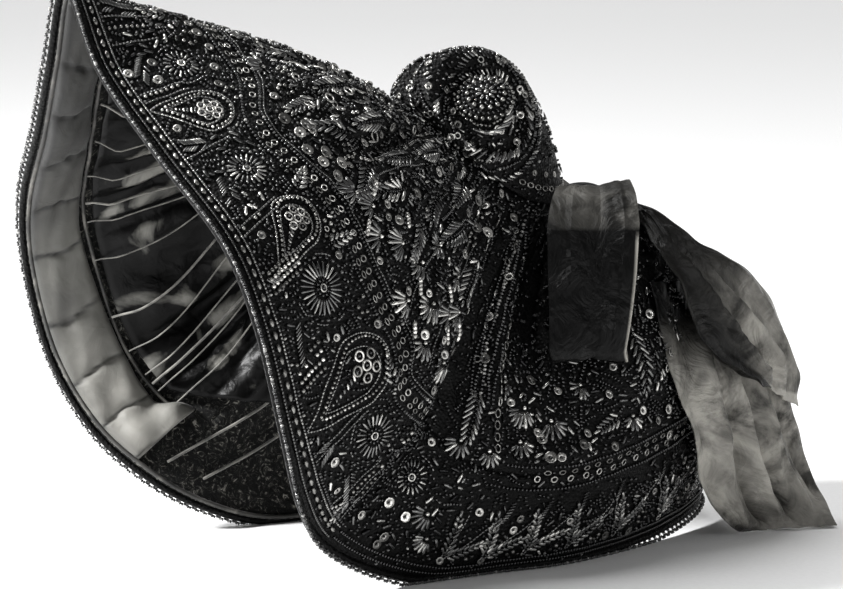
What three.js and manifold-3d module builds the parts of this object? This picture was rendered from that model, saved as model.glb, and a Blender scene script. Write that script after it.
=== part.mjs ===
// A beaded poke bonnet with a knob and a silk bow. Millimetres, +Z up.
// The face opening looks along -Y and the wearer's left side is +X.
// It stands on its neck edge, with the end of one ribbon tail on the same surface, at Z = 0.
import * as THREE from "three";
import Module from "manifold-3d";

const wasm = await Module();
wasm.setup();

// ---- Driving dimensions -------------------------------------------------------------------
const GAP = 0.3; // air between pieces that lie against each other
const FACING_EASE = 1.2; // the wadded facing stands off the brim
const LINING_EASE = 3.8; // the shirred lining hangs loose inside the pleats
const BEADED_WALL = 2.0; // embroidered cloth on its stiffening
const LINING_WALL = 1.0;
const FACING_WALL = 2.0; // at the tacked lines of the quilting
const FACING_PUFF = 2.6; // how far the quilting swells between them
const RIBBON_WALL = 1.0;
const TRIM_RADIUS = 2.1;
const CORD_RADIUS = 1.1;
const BUTTON_RADIUS = 12.5;

// The shell is a fan of spokes from the knob's foot to the outer edge. The wearer's left half
// is given here, from the peak over the forehead, down the rim, to the jaw corner (row 7) and
// back along the neck edge to the nape. Each row: outer edge, lower body, upper body.
const SPOKES = [
  [[0, 46, 275], [0, 104, 259], [0, 166, 239]],
  [[27, 50, 238], [31, 106, 239], [28, 166, 231]],
  [[64, 60, 203], [62, 116, 214], [50, 170, 216]],
  [[107, 71, 167], [89, 126, 186], [64, 178, 198]],
  [[123, 79, 131], [102, 136, 158], [74, 187, 179]],
  [[122, 91, 84], [106, 151, 116], [78, 200, 153]],
  [[107, 107, 48], [103, 167, 88], [76, 210, 134]],
  [[88, 128, 25], [92, 183, 66], [70, 220, 120]],
  [[81, 155, 9], [88, 206, 52], [66, 232, 112]],
  [[78, 188, -1], [90, 228, 44], [64, 244, 108]],
  [[76, 228, -1], [92, 256, 42], [66, 264, 108]],
  [[75, 270, -1], [88, 290, 46], [66, 288, 115]],
  [[56, 326, 1], [66, 340, 54], [54, 322, 127]],
  [[28, 372, 6], [36, 384, 66], [34, 352, 142]],
  [[0, 390, 10], [0, 396, 76], [0, 364, 152]],
];
const HALF = SPOKES.length - 1; // spokes from peak to nape
const ROUND = 2 * HALF; // spokes all the way round

// Where the pleated crown ends and the border begins, as a share of each spoke.
const SEAM = [0.48, 0.52, 0.58, 0.62, 0.62, 0.56, 0.54, 0.6, 0.64, 0.64, 0.64, 0.64, 0.64, 0.64, 0.64];
const JAW = 7; // the spoke where the front border meets the neck border
const SEAM_GAP = 0.0018; // GAP as a share of a spoke
const SPOKE_GAP = 0.012; // half of GAP round the edge, in spokes
const SHELL_END = 0.966; // the cloth stops here and the bead edge goes on
const TRIM_AT = 0.985;

// The knob's foot: an oval hole in the crown whose sides dip.
const FOOT = { half: [33, 43.5], centre: [265.5, 188.5], tilt: 24, dip: 17 };
const KNOB = { top: 237, lean: -8, full: 0.92 };
const BUTTON = { at: [28.8, 252, 217.6], axis: [0.61, -0.35, 0.71] };
const BUTTON_SUNK = 3; // the button sits this deep in its seat
const SEAT_REACH = 40; // the seat's cutter clears the knob's roll
const GROOVE = { at: 17, wide: 3.5, high: -5 }; // round the button, by distance from its axis
const ROLL = { at: 27, wide: 7, high: 4 };

// ---- The shell surface --------------------------------------------------------------------
const vec = (p) => new THREE.Vector3(...p);
const clamp01 = (u) => Math.min(Math.max(u, 0), 1);
const smoothstep = (a, b, u) => {
  const w = clamp01((u - a) / (b - a));
  return w * w * (3 - 2 * w);
};

// A smooth curve through four neighbours, between b and c.
function blend(a, b, c, d, w) {
  const k = [
    -w + 2 * w * w - w ** 3,
    2 - 5 * w * w + 3 * w ** 3,
    w + 4 * w * w - 3 * w ** 3,
    -w * w + w ** 3,
  ];
  return new THREE.Vector3()
    .addScaledVector(a, k[0] / 2)
    .addScaledVector(b, k[1] / 2)
    .addScaledVector(c, k[2] / 2)
    .addScaledVector(d, k[3] / 2);
}

function wrapped(row) {
  const near = SPOKES.map((spoke) => vec(spoke[row]));
  const far = near.slice(1, -1).reverse().map((p) => new THREE.Vector3(-p.x, p.y, p.z));
  return [...near, ...far];
}
const rings = [0, 1, 2].map(wrapped);

function along(ring, spoke) {
  const i = Math.floor(spoke);
  const at = (k) => ring[(i + k + 2 * ROUND) % ROUND];
  return blend(at(-1), at(0), at(1), at(2), spoke - i);
}

function foot(spoke) {
  const a = (2 * Math.PI * spoke) / ROUND;
  return new THREE.Vector3(
    FOOT.half[0] * Math.sin(a),
    FOOT.centre[0] - FOOT.half[1] * Math.cos(a),
    FOOT.centre[1] + FOOT.tilt * Math.cos(a) - FOOT.dip * Math.sin(a) ** 2,
  );
}

// A point of the plain shell: spoke counts round from the peak, r runs from foot to edge.
function plain(spoke, r) {
  const [edge, lower, upper] = rings.map((ring) => along(ring, spoke));
  const top = foot(spoke);
  const before = top.clone().multiplyScalar(2).sub(upper);
  const after = edge.clone().multiplyScalar(2).sub(lower);
  const row = [before, top, upper, lower, edge, after];
  const i = Math.min(Math.max(Math.floor(3 * r), 0), 2);
  return blend(row[i], row[i + 1], row[i + 2], row[i + 3], 3 * r - i);
}

function outward(spoke, r) {
  const d = 0.01;
  const down = plain(spoke, Math.min(r + d, 1)).sub(plain(spoke, Math.max(r - d, 0)));
  const round = plain(spoke + d, r).sub(plain(spoke - d, r));
  return round.cross(down).normalize().negate();
}

// Folds run down the spokes: where, how wide in spokes, from r to r, and how high.
const FOLDS = [
  { spoke: 7.1, wide: 0.55, from: 0.1, to: 1.0, high: -9 },
  { spoke: 5.7, wide: 0.9, from: 0.15, to: 0.85, high: 3 },
  { spoke: 8.4, wide: 0.35, from: 0.03, to: 0.66, high: 6 },
  { spoke: 2.7, wide: 0.4, from: 0.03, to: 0.55, high: -5 },
  { spoke: 2.0, wide: 0.45, from: 0.03, to: 0.5, high: 3 },
  { spoke: 4.3, wide: 0.35, from: 0.03, to: 0.5, high: -3 },
  { spoke: 10.4, wide: 1.3, from: 0.03, to: 0.5, high: -6 },
  { spoke: 10.0, wide: 0.4, from: 0.38, to: 0.74, high: 4 },
  { spoke: 11.5, wide: 0.7, from: 0.34, to: 0.62, high: 6 },
];
const PLEAT_HEIGHT = 1.2;
const WELT_HEIGHT = 3.5; // a swell above the neck border, from behind the jaw to the nape
const WELT_AT = 0.61;

function relief(spoke, r) {
  const s = Math.abs(spoke > HALF ? spoke - ROUND : spoke);
  const pleated = smoothstep(0, 0.08, r) * (1 - smoothstep(0.3, 0.6, r));
  let h = PLEAT_HEIGHT * Math.sin(2 * Math.PI * spoke) * pleated;
  for (const fold of FOLDS) {
    const u = clamp01((r - fold.from) / (fold.to - fold.from));
    h += fold.high * Math.sin(Math.PI * u) ** 2 * Math.exp(-(((s - fold.spoke) / fold.wide) ** 2));
  }
  h += WELT_HEIGHT * Math.exp(-(((r - WELT_AT) / 0.04) ** 2)) * smoothstep(8, 9.5, s);
  return h;
}

// The shell with its folds, at a depth under its outer face.
function shell(spoke, r, depth) {
  return plain(spoke, r).addScaledVector(outward(spoke, r), relief(spoke, r) - depth);
}

// ---- Making solids ------------------------------------------------------------------------
// A closed wall between two faces, each a function of (i, j) from 0 to 1.
function wall(outer, inner, columns, rows, closed = false) {
  const points = [];
  for (const face of [outer, inner])
    for (let j = 0; j <= rows; j++)
      for (let i = 0; i <= columns; i++) points.push(...face(i / columns, j / rows).toArray());
  const wide = columns + 1;
  const at = (side, i, j) => (side * (rows + 1) + j) * wide + (closed ? i % columns : i);
  const faces = [];
  const quad = (a, b, c, d) => faces.push(a, c, b, a, d, c);
  for (let j = 0; j < rows; j++)
    for (let i = 0; i < columns; i++) {
      quad(at(0, i, j), at(0, i + 1, j), at(0, i + 1, j + 1), at(0, i, j + 1));
      quad(at(1, i, j), at(1, i, j + 1), at(1, i + 1, j + 1), at(1, i + 1, j));
    }
  for (let i = 0; i < columns; i++) {
    quad(at(0, i, 0), at(1, i, 0), at(1, i + 1, 0), at(0, i + 1, 0));
    quad(at(0, i, rows), at(0, i + 1, rows), at(1, i + 1, rows), at(1, i, rows));
  }
  for (let j = 0; j < rows && !closed; j++) {
    quad(at(0, 0, j), at(0, 0, j + 1), at(1, 0, j + 1), at(1, 0, j));
    quad(at(0, columns, j), at(1, columns, j), at(1, columns, j + 1), at(0, columns, j + 1));
  }
  const geometry = new THREE.BufferGeometry();
  geometry.setAttribute("position", new THREE.Float32BufferAttribute(points, 3));
  geometry.setIndex(faces);
  return geometry;
}

// A cord of round section along points, with closed ends.
function cord(points, radius, sides) {
  const angles = Array.from({ length: sides }, (_, k) => (2 * Math.PI * k) / sides);
  const section = new THREE.Shape(
    angles.map((a) => new THREE.Vector2(radius * Math.cos(a), radius * Math.sin(a))),
  );
  const extrudePath = new THREE.CatmullRomCurve3(points);
  return new THREE.ExtrudeGeometry(section, { steps: points.length - 1, bevelEnabled: false, extrudePath });
}

function toManifold(geometry) {
  const mesh = new wasm.Mesh({
    numProp: 3,
    vertProperties: new Float32Array(geometry.attributes.position.array),
    triVerts: new Uint32Array(geometry.index.array),
  });
  mesh.merge();
  return new wasm.Manifold(mesh);
}

function fromManifold(solid) {
  const mesh = solid.getMesh();
  const geometry = new THREE.BufferGeometry();
  geometry.setAttribute("position", new THREE.Float32BufferAttribute(mesh.vertProperties, 3));
  geometry.setIndex(Array.from(mesh.triVerts));
  return geometry;
}

const bonnet = new THREE.Group();
bonnet.name = "poke_bonnet";

function add(name, geometry, colour, roughness) {
  const material = new THREE.MeshStandardMaterial({ color: colour, roughness, metalness: 0 });
  const mesh = new THREE.Mesh(geometry, material);
  mesh.name = name;
  bonnet.add(mesh);
}

// ---- The beaded shell ---------------------------------------------------------------------
const BEADED = 0x1b1b1c;
const SATIN = 0x8f8d88;
const SILK = 0x161618;

const seam = (spoke) => {
  const s = Math.abs(spoke > HALF ? spoke - ROUND : spoke);
  const i = Math.min(Math.floor(s), HALF - 1);
  return SEAM[i] + (SEAM[i + 1] - SEAM[i]) * smoothstep(0, 1, s - i);
};

// Part of the shell between two spokes and two lines along them, as a wall of one depth.
function shellPiece({ spokes, from, to, depth, thick, columns, rows, closed }) {
  const face = (under) => (i, j) => {
    const spoke = spokes[0] + (spokes[1] - spokes[0]) * i;
    return shell(spoke, from(spoke) + (to(spoke) - from(spoke)) * j, under);
  };
  return wall(face(depth), face(depth + thick), columns, rows, closed);
}

function makeCrown() {
  return shellPiece({
    spokes: [0, ROUND],
    from: () => 0,
    to: (spoke) => seam(spoke) - SEAM_GAP / 2,
    depth: 0,
    thick: BEADED_WALL,
    columns: 4 * ROUND,
    rows: 9,
    closed: true,
  });
}

function makeBorder(spokes, columns, rows) {
  return shellPiece({
    spokes: [spokes[0] + SPOKE_GAP, spokes[1] - SPOKE_GAP],
    from: (spoke) => seam(spoke) + SEAM_GAP / 2,
    to: () => SHELL_END,
    depth: 0,
    thick: BEADED_WALL,
    columns,
    rows,
  });
}

add("crown", makeCrown(), BEADED, 0.5);
add("brim", makeBorder([-JAW, JAW], 56, 6), BEADED, 0.5);
add("nape_band", makeBorder([JAW, ROUND - JAW], 56, 4), BEADED, 0.5);

// ---- Inside: lining, quilted facing and its cords -----------------------------------------
const FACING_END = 6.7; // the facing stops at this spoke on each side
const FACING_FROM = 0.835;
const PUFFS = 19;

const TIP = { r: -0.24, hole: 0.1, drop: 8 }; // the lining is drawn up to a small hole under the knob

// Above the knob's foot the lining runs on across the hole to its gathered tip.
function liningFace(depth) {
  return (i, j) => {
    const spoke = ROUND * i;
    const s = Math.min(spoke, ROUND - spoke);
    const end = FACING_FROM - 0.03 - 0.2 * smoothstep(6, 8, s);
    const r = TIP.r + (end - TIP.r) * j;
    if (r >= 0) return shell(spoke, r, depth);
    const tip = new THREE.Vector3(0, FOOT.centre[0], FOOT.centre[1] - TIP.drop - depth);
    return shell(spoke, 0, depth).lerp(tip, ((1 - TIP.hole) * r) / TIP.r);
  };
}

function makeLining() {
  const depth = BEADED_WALL + LINING_EASE;
  return wall(liningFace(depth), liningFace(depth + LINING_WALL), 2 * ROUND, 10, true);
}

// The facing's inner face swells between the lines where it is tacked down.
function facingFace(under, swell) {
  return (i, j) => {
    const spoke = FACING_END * (2 * i - 1);
    const puff = Math.abs(Math.sin(Math.PI * PUFFS * i)) ** 0.6 * Math.sin(Math.PI * j) ** 0.7;
    return shell(spoke, FACING_FROM + (SHELL_END - 0.015 - FACING_FROM) * j, under + swell * puff);
  };
}

function makeFacing() {
  const outer = BEADED_WALL + FACING_EASE;
  return wall(facingFace(outer, 0), facingFace(outer + FACING_WALL, FACING_PUFF), 4 * PUFFS, 4);
}

function innerCord(r, depth) {
  const steps = 60;
  const spokeAt = (k) => FACING_END * ((2 * k) / steps - 1);
  const points = Array.from({ length: steps + 1 }, (_, k) => shell(spokeAt(k), r, depth));
  return cord(points, CORD_RADIUS, 5);
}

add("lining", makeLining(), SILK, 0.6);
add("facing", makeFacing(), SATIN, 0.55);
add("facing_cord", innerCord(FACING_FROM - 0.0125, BEADED_WALL + FACING_EASE + CORD_RADIUS), SATIN, 0.5);

// ---- The looped bead edge -----------------------------------------------------------------
function makeEdgeTrim() {
  const points = Array.from({ length: 4 * ROUND }, (_, k) => plain(k / 4, TRIM_AT));
  const curve = new THREE.CatmullRomCurve3(points, true);
  const geometry = new THREE.TubeGeometry(curve, 4 * ROUND, TRIM_RADIUS, 8, true);
  const position = geometry.attributes.position;
  for (let k = 0; k < position.count; k++) position.setZ(k, Math.max(position.getZ(k), 0));
  return geometry;
}

add("edge_trim", makeEdgeTrim(), BEADED, 0.4);

// ---- The knob -----------------------------------------------------------------------------
const buttonAt = vec(BUTTON.at);
const buttonAxis = vec(BUTTON.axis).normalize();

// Height of the rolls round the button, by distance from its axis.
function rolls(distance) {
  const swell = ({ at, wide, high }) => high * Math.exp(-(((distance - at) / wide) ** 2));
  return swell(GROOVE) + swell(ROLL);
}

function knobPoint(spoke, s) {
  const base = foot(spoke);
  const rise = Math.sin((s * Math.PI) / 2);
  const reach = Math.cos((s * Math.PI) / 2) ** KNOB.full;
  const point = new THREE.Vector3(
    base.x * reach,
    FOOT.centre[0] + KNOB.lean * rise + (base.y - FOOT.centre[0]) * reach,
    base.z + 0.5 + (KNOB.top - base.z) * rise,
  );
  const offset = point.clone().sub(buttonAt);
  const height = offset.dot(buttonAxis);
  const distance = offset.addScaledVector(buttonAxis, -height).length();
  const facing = smoothstep(-30, -14, height) * smoothstep(0, 0.15, s);
  return point.addScaledVector(buttonAxis, rolls(distance) * facing);
}

function knobBody(columns, rows) {
  const points = [new THREE.Vector3(0, FOOT.centre[0], FOOT.centre[1] - 8), knobPoint(0, 1)];
  for (let j = 0; j < rows; j++)
    for (let i = 0; i < columns; i++) points.push(knobPoint((ROUND * i) / columns, j / rows));
  const at = (i, j) => 2 + j * columns + (i % columns);
  const faces = [];
  for (let i = 0; i < columns; i++) {
    faces.push(0, at(i + 1, 0), at(i, 0), 1, at(i, rows - 1), at(i + 1, rows - 1));
    for (let j = 0; j < rows - 1; j++) {
      faces.push(at(i, j), at(i + 1, j), at(i + 1, j + 1));
      faces.push(at(i, j), at(i + 1, j + 1), at(i, j + 1));
    }
  }
  const geometry = new THREE.BufferGeometry();
  const flat = points.flatMap((p) => p.toArray());
  geometry.setAttribute("position", new THREE.Float32BufferAttribute(flat, 3));
  geometry.setIndex(faces);
  return geometry;
}

// Turns a solid built about +Z to stand on the button's axis.
function onButtonAxis(geometry, height) {
  const turn = new THREE.Quaternion().setFromUnitVectors(new THREE.Vector3(0, 0, 1), buttonAxis);
  const at = buttonAt.clone().addScaledVector(buttonAxis, height);
  return geometry.applyQuaternion(turn).translate(at.x, at.y, at.z);
}

function lathe(profile, segments) {
  const geometry = new THREE.LatheGeometry(profile.map(([x, y]) => new THREE.Vector2(x, y)), segments);
  return geometry.rotateX(Math.PI / 2);
}

function makeKnob() {
  const r = BUTTON_RADIUS + GAP;
  const seat = onButtonAxis(lathe([[0, 0], [r, 0], [r, SEAT_REACH], [0, SEAT_REACH]], 32), -BUTTON_SUNK);
  return fromManifold(toManifold(knobBody(56, 22)).subtract(toManifold(seat)));
}

function makeButton() {
  const r = BUTTON_RADIUS;
  const dome = [[0, 0], [r, 0], [r, 3], [0.85 * r, 5], [0.45 * r, 6.4], [0, 7]];
  return onButtonAxis(lathe(dome, 32), GAP - BUTTON_SUNK);
}

add("knob", makeKnob(), BEADED, 0.5);
add("knob_button", makeButton(), BEADED, 0.4);

// ---- The bow ------------------------------------------------------------------------------
// A ribbon between its two selvages, each given by a few points, with soft waves across it.
function ribbon(first, second, waves, columns, rows, mirror = 1) {
  const sides = [first, second].map((side) => new THREE.CatmullRomCurve3(side.map(vec)));
  const middle = (i, j) => sides[0].getPoint(i).lerp(sides[1].getPoint(i), j);
  const normal = (i, j) => {
    const d = 0.01;
    const down = middle(Math.min(i + d, 1), j).sub(middle(Math.max(i - d, 0), j));
    return down.cross(middle(i, 1).sub(middle(i, 0))).normalize();
  };
  const face = (side) => (i, j) => {
    const turn = Math.PI * (waves.count * j + waves.skew * i);
    const wave = waves.height * Math.sin(turn) * smoothstep(0, 0.2, i);
    const fade = 1 - smoothstep(waves.fade, 1, i);
    const point = middle(i, j).addScaledVector(normal(i, j), wave * fade + (side * RIBBON_WALL) / 2);
    point.x *= mirror;
    point.z = Math.max(point.z, side * mirror > 0 ? RIBBON_WALL : 0);
    return point;
  };
  return wall(face(-mirror), face(mirror), columns, rows);
}

const KNOT = { at: [0, 325, 169.5], half: [11, 12, 5.5] };
const LOOP_FRONT = [[12, 314, 170], [40, 290, 171], [62, 268, 158], [78, 258, 132], [90, 250, 104]];
const LOOP_BACK = [[12, 334, 174], [34, 328, 174], [64, 314, 156], [80, 306, 130], [90, 292, 100]];
const LOOP_WAVES = { height: 1, count: 1, skew: 1, fade: 0.9 };
add("bow_loop_near", ribbon(LOOP_FRONT, LOOP_BACK, LOOP_WAVES, 16, 5), SILK, 0.35);
add("bow_loop_far", ribbon(LOOP_FRONT, LOOP_BACK, LOOP_WAVES, 16, 5, -1), SILK, 0.35);

const UPPER_OUTER = [
  [18, 340, 168], [34, 350, 157], [35, 368, 144], [36, 394, 129],
  [36, 414, 108], [35, 426, 80], [34, 432, 55],
];
const UPPER_INNER = [
  [22, 336, 166], [44, 332, 156], [60, 330, 144], [68, 336, 128],
  [74, 342, 108], [74, 356, 92], [70, 374, 76],
];
const UPPER_WAVES = { height: 4, count: 3, skew: 0.5, fade: 0.9 };
add("bow_tail_upper", ribbon(UPPER_INNER, UPPER_OUTER, UPPER_WAVES, 18, 10), SILK, 0.35);

const LOWER_OUTER = [
  [34, 404, 96], [32, 420, 70], [34, 428, 46], [44, 430, 26], [58, 430, 11], [72, 427, 0.5],
];
const LOWER_INNER = [
  [68, 330, 96], [76, 332, 74], [80, 338, 54], [77, 344, 34], [68, 362, 12], [60, 380, 0.5],
];
const LOWER_WAVES = { height: 5, count: 4, skew: 0.5, fade: 0.7 };
add("bow_tail_lower", ribbon(LOWER_INNER, LOWER_OUTER, LOWER_WAVES, 16, 12), SILK, 0.35);

function makeKnot() {
  const knot = new THREE.SphereGeometry(1, 20, 12);
  return knot.rotateX(Math.PI / 2).scale(...KNOT.half).translate(...KNOT.at);
}
add("bow_knot", makeKnot(), SILK, 0.35);

// The origin is under the middle of the whole, on the surface it stands on.
const box = new THREE.Box3().setFromObject(bonnet);
bonnet.position.y = -(box.min.y + box.max.y) / 2;

export default bonnet;
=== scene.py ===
"""A beaded poke bonnet: its looks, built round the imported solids. Metres, +Z up.

The cloth, beads, ribbon and lining are all set out on one surface: spokes that run from the
knob's foot to the edge. A place on it is (spoke, r): spoke counts round from the peak over the
forehead, 14 at the nape, and r runs from 0 at the knob to 1 at the edge. Working sizes are mm.
"""

import math

import bmesh
import bpy
import numpy as np
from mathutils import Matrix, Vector


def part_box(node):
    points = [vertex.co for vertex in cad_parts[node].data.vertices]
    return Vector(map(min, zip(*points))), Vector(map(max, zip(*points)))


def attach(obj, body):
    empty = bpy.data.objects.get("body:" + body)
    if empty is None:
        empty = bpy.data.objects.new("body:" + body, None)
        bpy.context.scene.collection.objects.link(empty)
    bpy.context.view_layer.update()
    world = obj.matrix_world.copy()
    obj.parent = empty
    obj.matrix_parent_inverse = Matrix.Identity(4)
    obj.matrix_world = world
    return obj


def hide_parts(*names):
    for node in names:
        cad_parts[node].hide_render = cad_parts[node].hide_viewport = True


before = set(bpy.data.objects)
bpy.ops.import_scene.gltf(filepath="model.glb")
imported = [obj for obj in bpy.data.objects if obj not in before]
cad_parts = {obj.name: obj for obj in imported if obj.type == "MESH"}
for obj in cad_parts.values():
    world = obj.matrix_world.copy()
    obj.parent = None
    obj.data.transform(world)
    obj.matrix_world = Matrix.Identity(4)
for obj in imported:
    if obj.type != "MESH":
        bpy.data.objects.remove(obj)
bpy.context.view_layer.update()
MM = 0.001

# ---- Driving sizes of the shell, the same as the solids are made to ---------------------------
# One row per spoke of the wearer's left half: outer edge, lower body, upper body.
SPOKES = [
    [[0, 46, 275], [0, 104, 259], [0, 166, 239]],
    [[27, 50, 238], [31, 106, 239], [28, 166, 231]],
    [[64, 60, 203], [62, 116, 214], [50, 170, 216]],
    [[107, 71, 167], [89, 126, 186], [64, 178, 198]],
    [[123, 79, 131], [102, 136, 158], [74, 187, 179]],
    [[122, 91, 84], [106, 151, 116], [78, 200, 153]],
    [[107, 107, 48], [103, 167, 88], [76, 210, 134]],
    [[88, 128, 25], [92, 183, 66], [70, 220, 120]],
    [[81, 155, 9], [88, 206, 52], [66, 232, 112]],
    [[78, 188, -1], [90, 228, 44], [64, 244, 108]],
    [[76, 228, -1], [92, 256, 42], [66, 264, 108]],
    [[75, 270, -1], [88, 290, 46], [66, 288, 115]],
    [[56, 326, 1], [66, 340, 54], [54, 322, 127]],
    [[28, 372, 6], [36, 384, 66], [34, 352, 142]],
    [[0, 390, 10], [0, 396, 76], [0, 364, 152]],
]
HALF = 14
ROUND = 28
JAW = 7  # the spoke where the brim meets the neck border
SEAM = [0.48, 0.52, 0.58, 0.62, 0.62, 0.56, 0.54, 0.6] + [0.64] * 7
SHELL_END = 0.966
TRIM_AT = 0.985
FOOT_HALF = (33.0, 43.5)
FOOT_CENTRE = (265.5, 188.5)
FOOT_TILT, FOOT_DIP = 24.0, 17.0
KNOB_TOP, KNOB_LEAN, KNOB_FULL = 237.0, -8.0, 0.92
BUTTON_AT = np.array([28.8, 252.0, 217.6])
BUTTON_AXIS = np.array([0.61, -0.35, 0.71]) / np.linalg.norm([0.61, -0.35, 0.71])
BUTTON_RADIUS = 12.5
FOLDS = [  # spoke, width in spokes, from r, to r, height
    (7.1, 0.55, 0.1, 1.0, -9),
    (5.7, 0.9, 0.15, 0.85, 3),
    (8.4, 0.35, 0.03, 0.66, 6),
    (2.7, 0.4, 0.03, 0.55, -5),
    (2.0, 0.45, 0.03, 0.5, 3),
    (4.3, 0.35, 0.03, 0.5, -3),
    (10.4, 1.3, 0.03, 0.5, -6),
    (10.0, 0.4, 0.38, 0.74, 4),
    (11.5, 0.7, 0.34, 0.62, 6),
]
PLEAT_HEIGHT, WELT_HEIGHT, WELT_AT = 1.2, 3.5, 0.61
BEADED_WALL = 2.0

# The solids' origin is under their middle: the knob's foot shows how far that lies along Y.
SHIFT = np.array([0.0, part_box("knob")[1][1] / MM - (FOOT_CENTRE[0] + FOOT_HALF[1]), 0.0])


# ---- The shell surface --------------------------------------------------------------------------
def smoothstep(a, b, u):
    w = np.clip((np.asarray(u, float) - a) / (b - a), 0, 1)
    return w * w * (3 - 2 * w)


def between(a, b, c, d, w):
    """A smooth curve from b to c."""
    w = np.asarray(w, float)[..., None]
    return 0.5 * (2 * b + (c - a) * w + (2 * a - 5 * b + 4 * c - d) * w**2 + (3 * b - a - 3 * c + d) * w**3)


def ring_of(row):
    near = [spoke[row] for spoke in SPOKES]
    far = [[-x, y, z] for x, y, z in near[1:-1][::-1]]
    return np.array(near + far, float)


RINGS = [ring_of(row) for row in range(3)]


def along(ring, spoke):
    i = np.floor(spoke).astype(int)
    a, b, c, d = (ring[(i + k) % ROUND] for k in (-1, 0, 1, 2))
    return between(a, b, c, d, spoke - i)


def foot(spoke):
    a = 2 * np.pi * spoke / ROUND
    x = FOOT_HALF[0] * np.sin(a)
    y = FOOT_CENTRE[0] - FOOT_HALF[1] * np.cos(a)
    z = FOOT_CENTRE[1] + FOOT_TILT * np.cos(a) - FOOT_DIP * np.sin(a) ** 2
    return np.stack([x, y, z], -1)


def plain(spoke, r):
    spoke, r = np.broadcast_arrays(np.asarray(spoke, float), np.asarray(r, float))
    edge, lower, upper = (along(ring, spoke) for ring in RINGS)
    top = foot(spoke)
    rows = np.stack([2 * top - upper, top, upper, lower, edge, 2 * edge - lower])
    i = np.clip(np.floor(3 * r).astype(int), 0, 2)
    pick = lambda k: np.take_along_axis(rows, (i + k)[None, ..., None].repeat(3, -1), 0)[0]
    return between(pick(0), pick(1), pick(2), pick(3), 3 * r - i)


def unit(v):
    return v / np.maximum(np.linalg.norm(v, axis=-1, keepdims=True), 1e-9)


def outward(spoke, r):
    d = 0.01
    down = plain(spoke, np.minimum(r + d, 1)) - plain(spoke, np.maximum(r - d, 0))
    across = plain(spoke + d, r) - plain(spoke - d, r)
    return unit(np.cross(down, across))


def from_peak(spoke):
    """How many spokes from the peak, on either side."""
    spoke = np.mod(spoke, ROUND)
    return np.minimum(spoke, ROUND - spoke)


def relief(spoke, r):
    s = from_peak(spoke)
    h = PLEAT_HEIGHT * np.sin(2 * np.pi * spoke) * smoothstep(0, 0.08, r) * (1 - smoothstep(0.3, 0.6, r))
    for at, wide, start, end, high in FOLDS:
        u = np.clip((r - start) / (end - start), 0, 1)
        h = h + high * np.sin(np.pi * u) ** 2 * np.exp(-(((s - at) / wide) ** 2))
    return h + WELT_HEIGHT * np.exp(-(((r - WELT_AT) / 0.04) ** 2)) * smoothstep(8, 9.5, s)


def puckers(spoke, r):
    """Small unevenness of the worked cloth: narrow pleats by the knob, soft lumps further out."""
    fade = smoothstep(0.0, 0.06, r) * (1 - smoothstep(0.45, 0.7, r))
    narrow = 0.7 * np.sin(2 * np.pi * (2.6 * spoke + 1.3 * np.sin(6 * r))) * fade
    lumps = 0.6 * np.sin(9.1 * spoke + 31 * r) * np.sin(41 * r - 3.7 * spoke)
    return narrow + lumps * smoothstep(0, 0.1, r) * (1 - smoothstep(0.9, SHELL_END, r))


def shell(spoke, r, depth=0.0):
    spoke, r = np.broadcast_arrays(np.asarray(spoke, float), np.asarray(r, float))
    lift = relief(spoke, r) + puckers(spoke, r) - depth
    return plain(spoke, r) + outward(spoke, r) * lift[..., None]


# ---- Making meshes ------------------------------------------------------------------------------
def link(obj):
    bpy.context.scene.collection.objects.link(obj)
    return obj


def mesh_piece(name, points, faces, material, uv=None, smooth=True):
    """points in mm in the working frame. uv is one pair per vertex."""
    mesh = bpy.data.meshes.new(name)
    mesh.from_pydata(((np.asarray(points) + SHIFT) * MM).tolist(), [], faces)
    if uv is not None:
        layer = mesh.uv_layers.new(name="weave")
        corners = np.empty(len(mesh.loops), int)
        mesh.loops.foreach_get("vertex_index", corners)
        layer.data.foreach_set("uv", np.asarray(uv, float)[corners].ravel())
    mesh.polygons.foreach_set("use_smooth", [smooth] * len(mesh.polygons))
    mesh.update()
    obj = link(bpy.data.objects.new(name, mesh))
    for m in material if isinstance(material, list) else [material]:
        mesh.materials.append(m)
    return obj


def wall(name, outer, inner, columns, rows, material, closed=False, inner_slot=0):
    """A closed wall between two faces, each a function of grids i, j from 0 to 1."""
    i, j = np.meshgrid(np.linspace(0, 1, columns + 1), np.linspace(0, 1, rows + 1))
    points, uv = [], []
    for face in (outer, inner):
        points.append(face(i, j).reshape(-1, 3))
        uv.append(np.stack([i, j], -1).reshape(-1, 2))
    points, uv = np.concatenate(points), np.concatenate(uv)
    wide = columns + 1
    at = lambda side, a, b: (side * (rows + 1) + b) * wide + (a % columns if closed else a)
    faces, slots = [], []
    for b in range(rows):
        for a in range(columns):
            faces.append((at(0, a, b), at(0, a, b + 1), at(0, a + 1, b + 1), at(0, a + 1, b)))
            faces.append((at(1, a, b), at(1, a + 1, b), at(1, a + 1, b + 1), at(1, a, b + 1)))
            slots += [0, inner_slot]
    for a in range(columns):
        faces.append((at(0, a, 0), at(0, a + 1, 0), at(1, a + 1, 0), at(1, a, 0)))
        faces.append((at(0, a, rows), at(1, a, rows), at(1, a + 1, rows), at(0, a + 1, rows)))
        slots += [0, 0]
    if not closed:
        for b in range(rows):
            faces.append((at(0, 0, b), at(1, 0, b), at(1, 0, b + 1), at(0, 0, b + 1)))
            faces.append((at(0, columns, b), at(0, columns, b + 1), at(1, columns, b + 1), at(1, columns, b)))
            slots += [0, 0]
    obj = mesh_piece(name, points, faces, material, uv)
    obj.data.polygons.foreach_set("material_index", slots)
    if closed:
        drop_unused(obj.data)
    return obj


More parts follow.
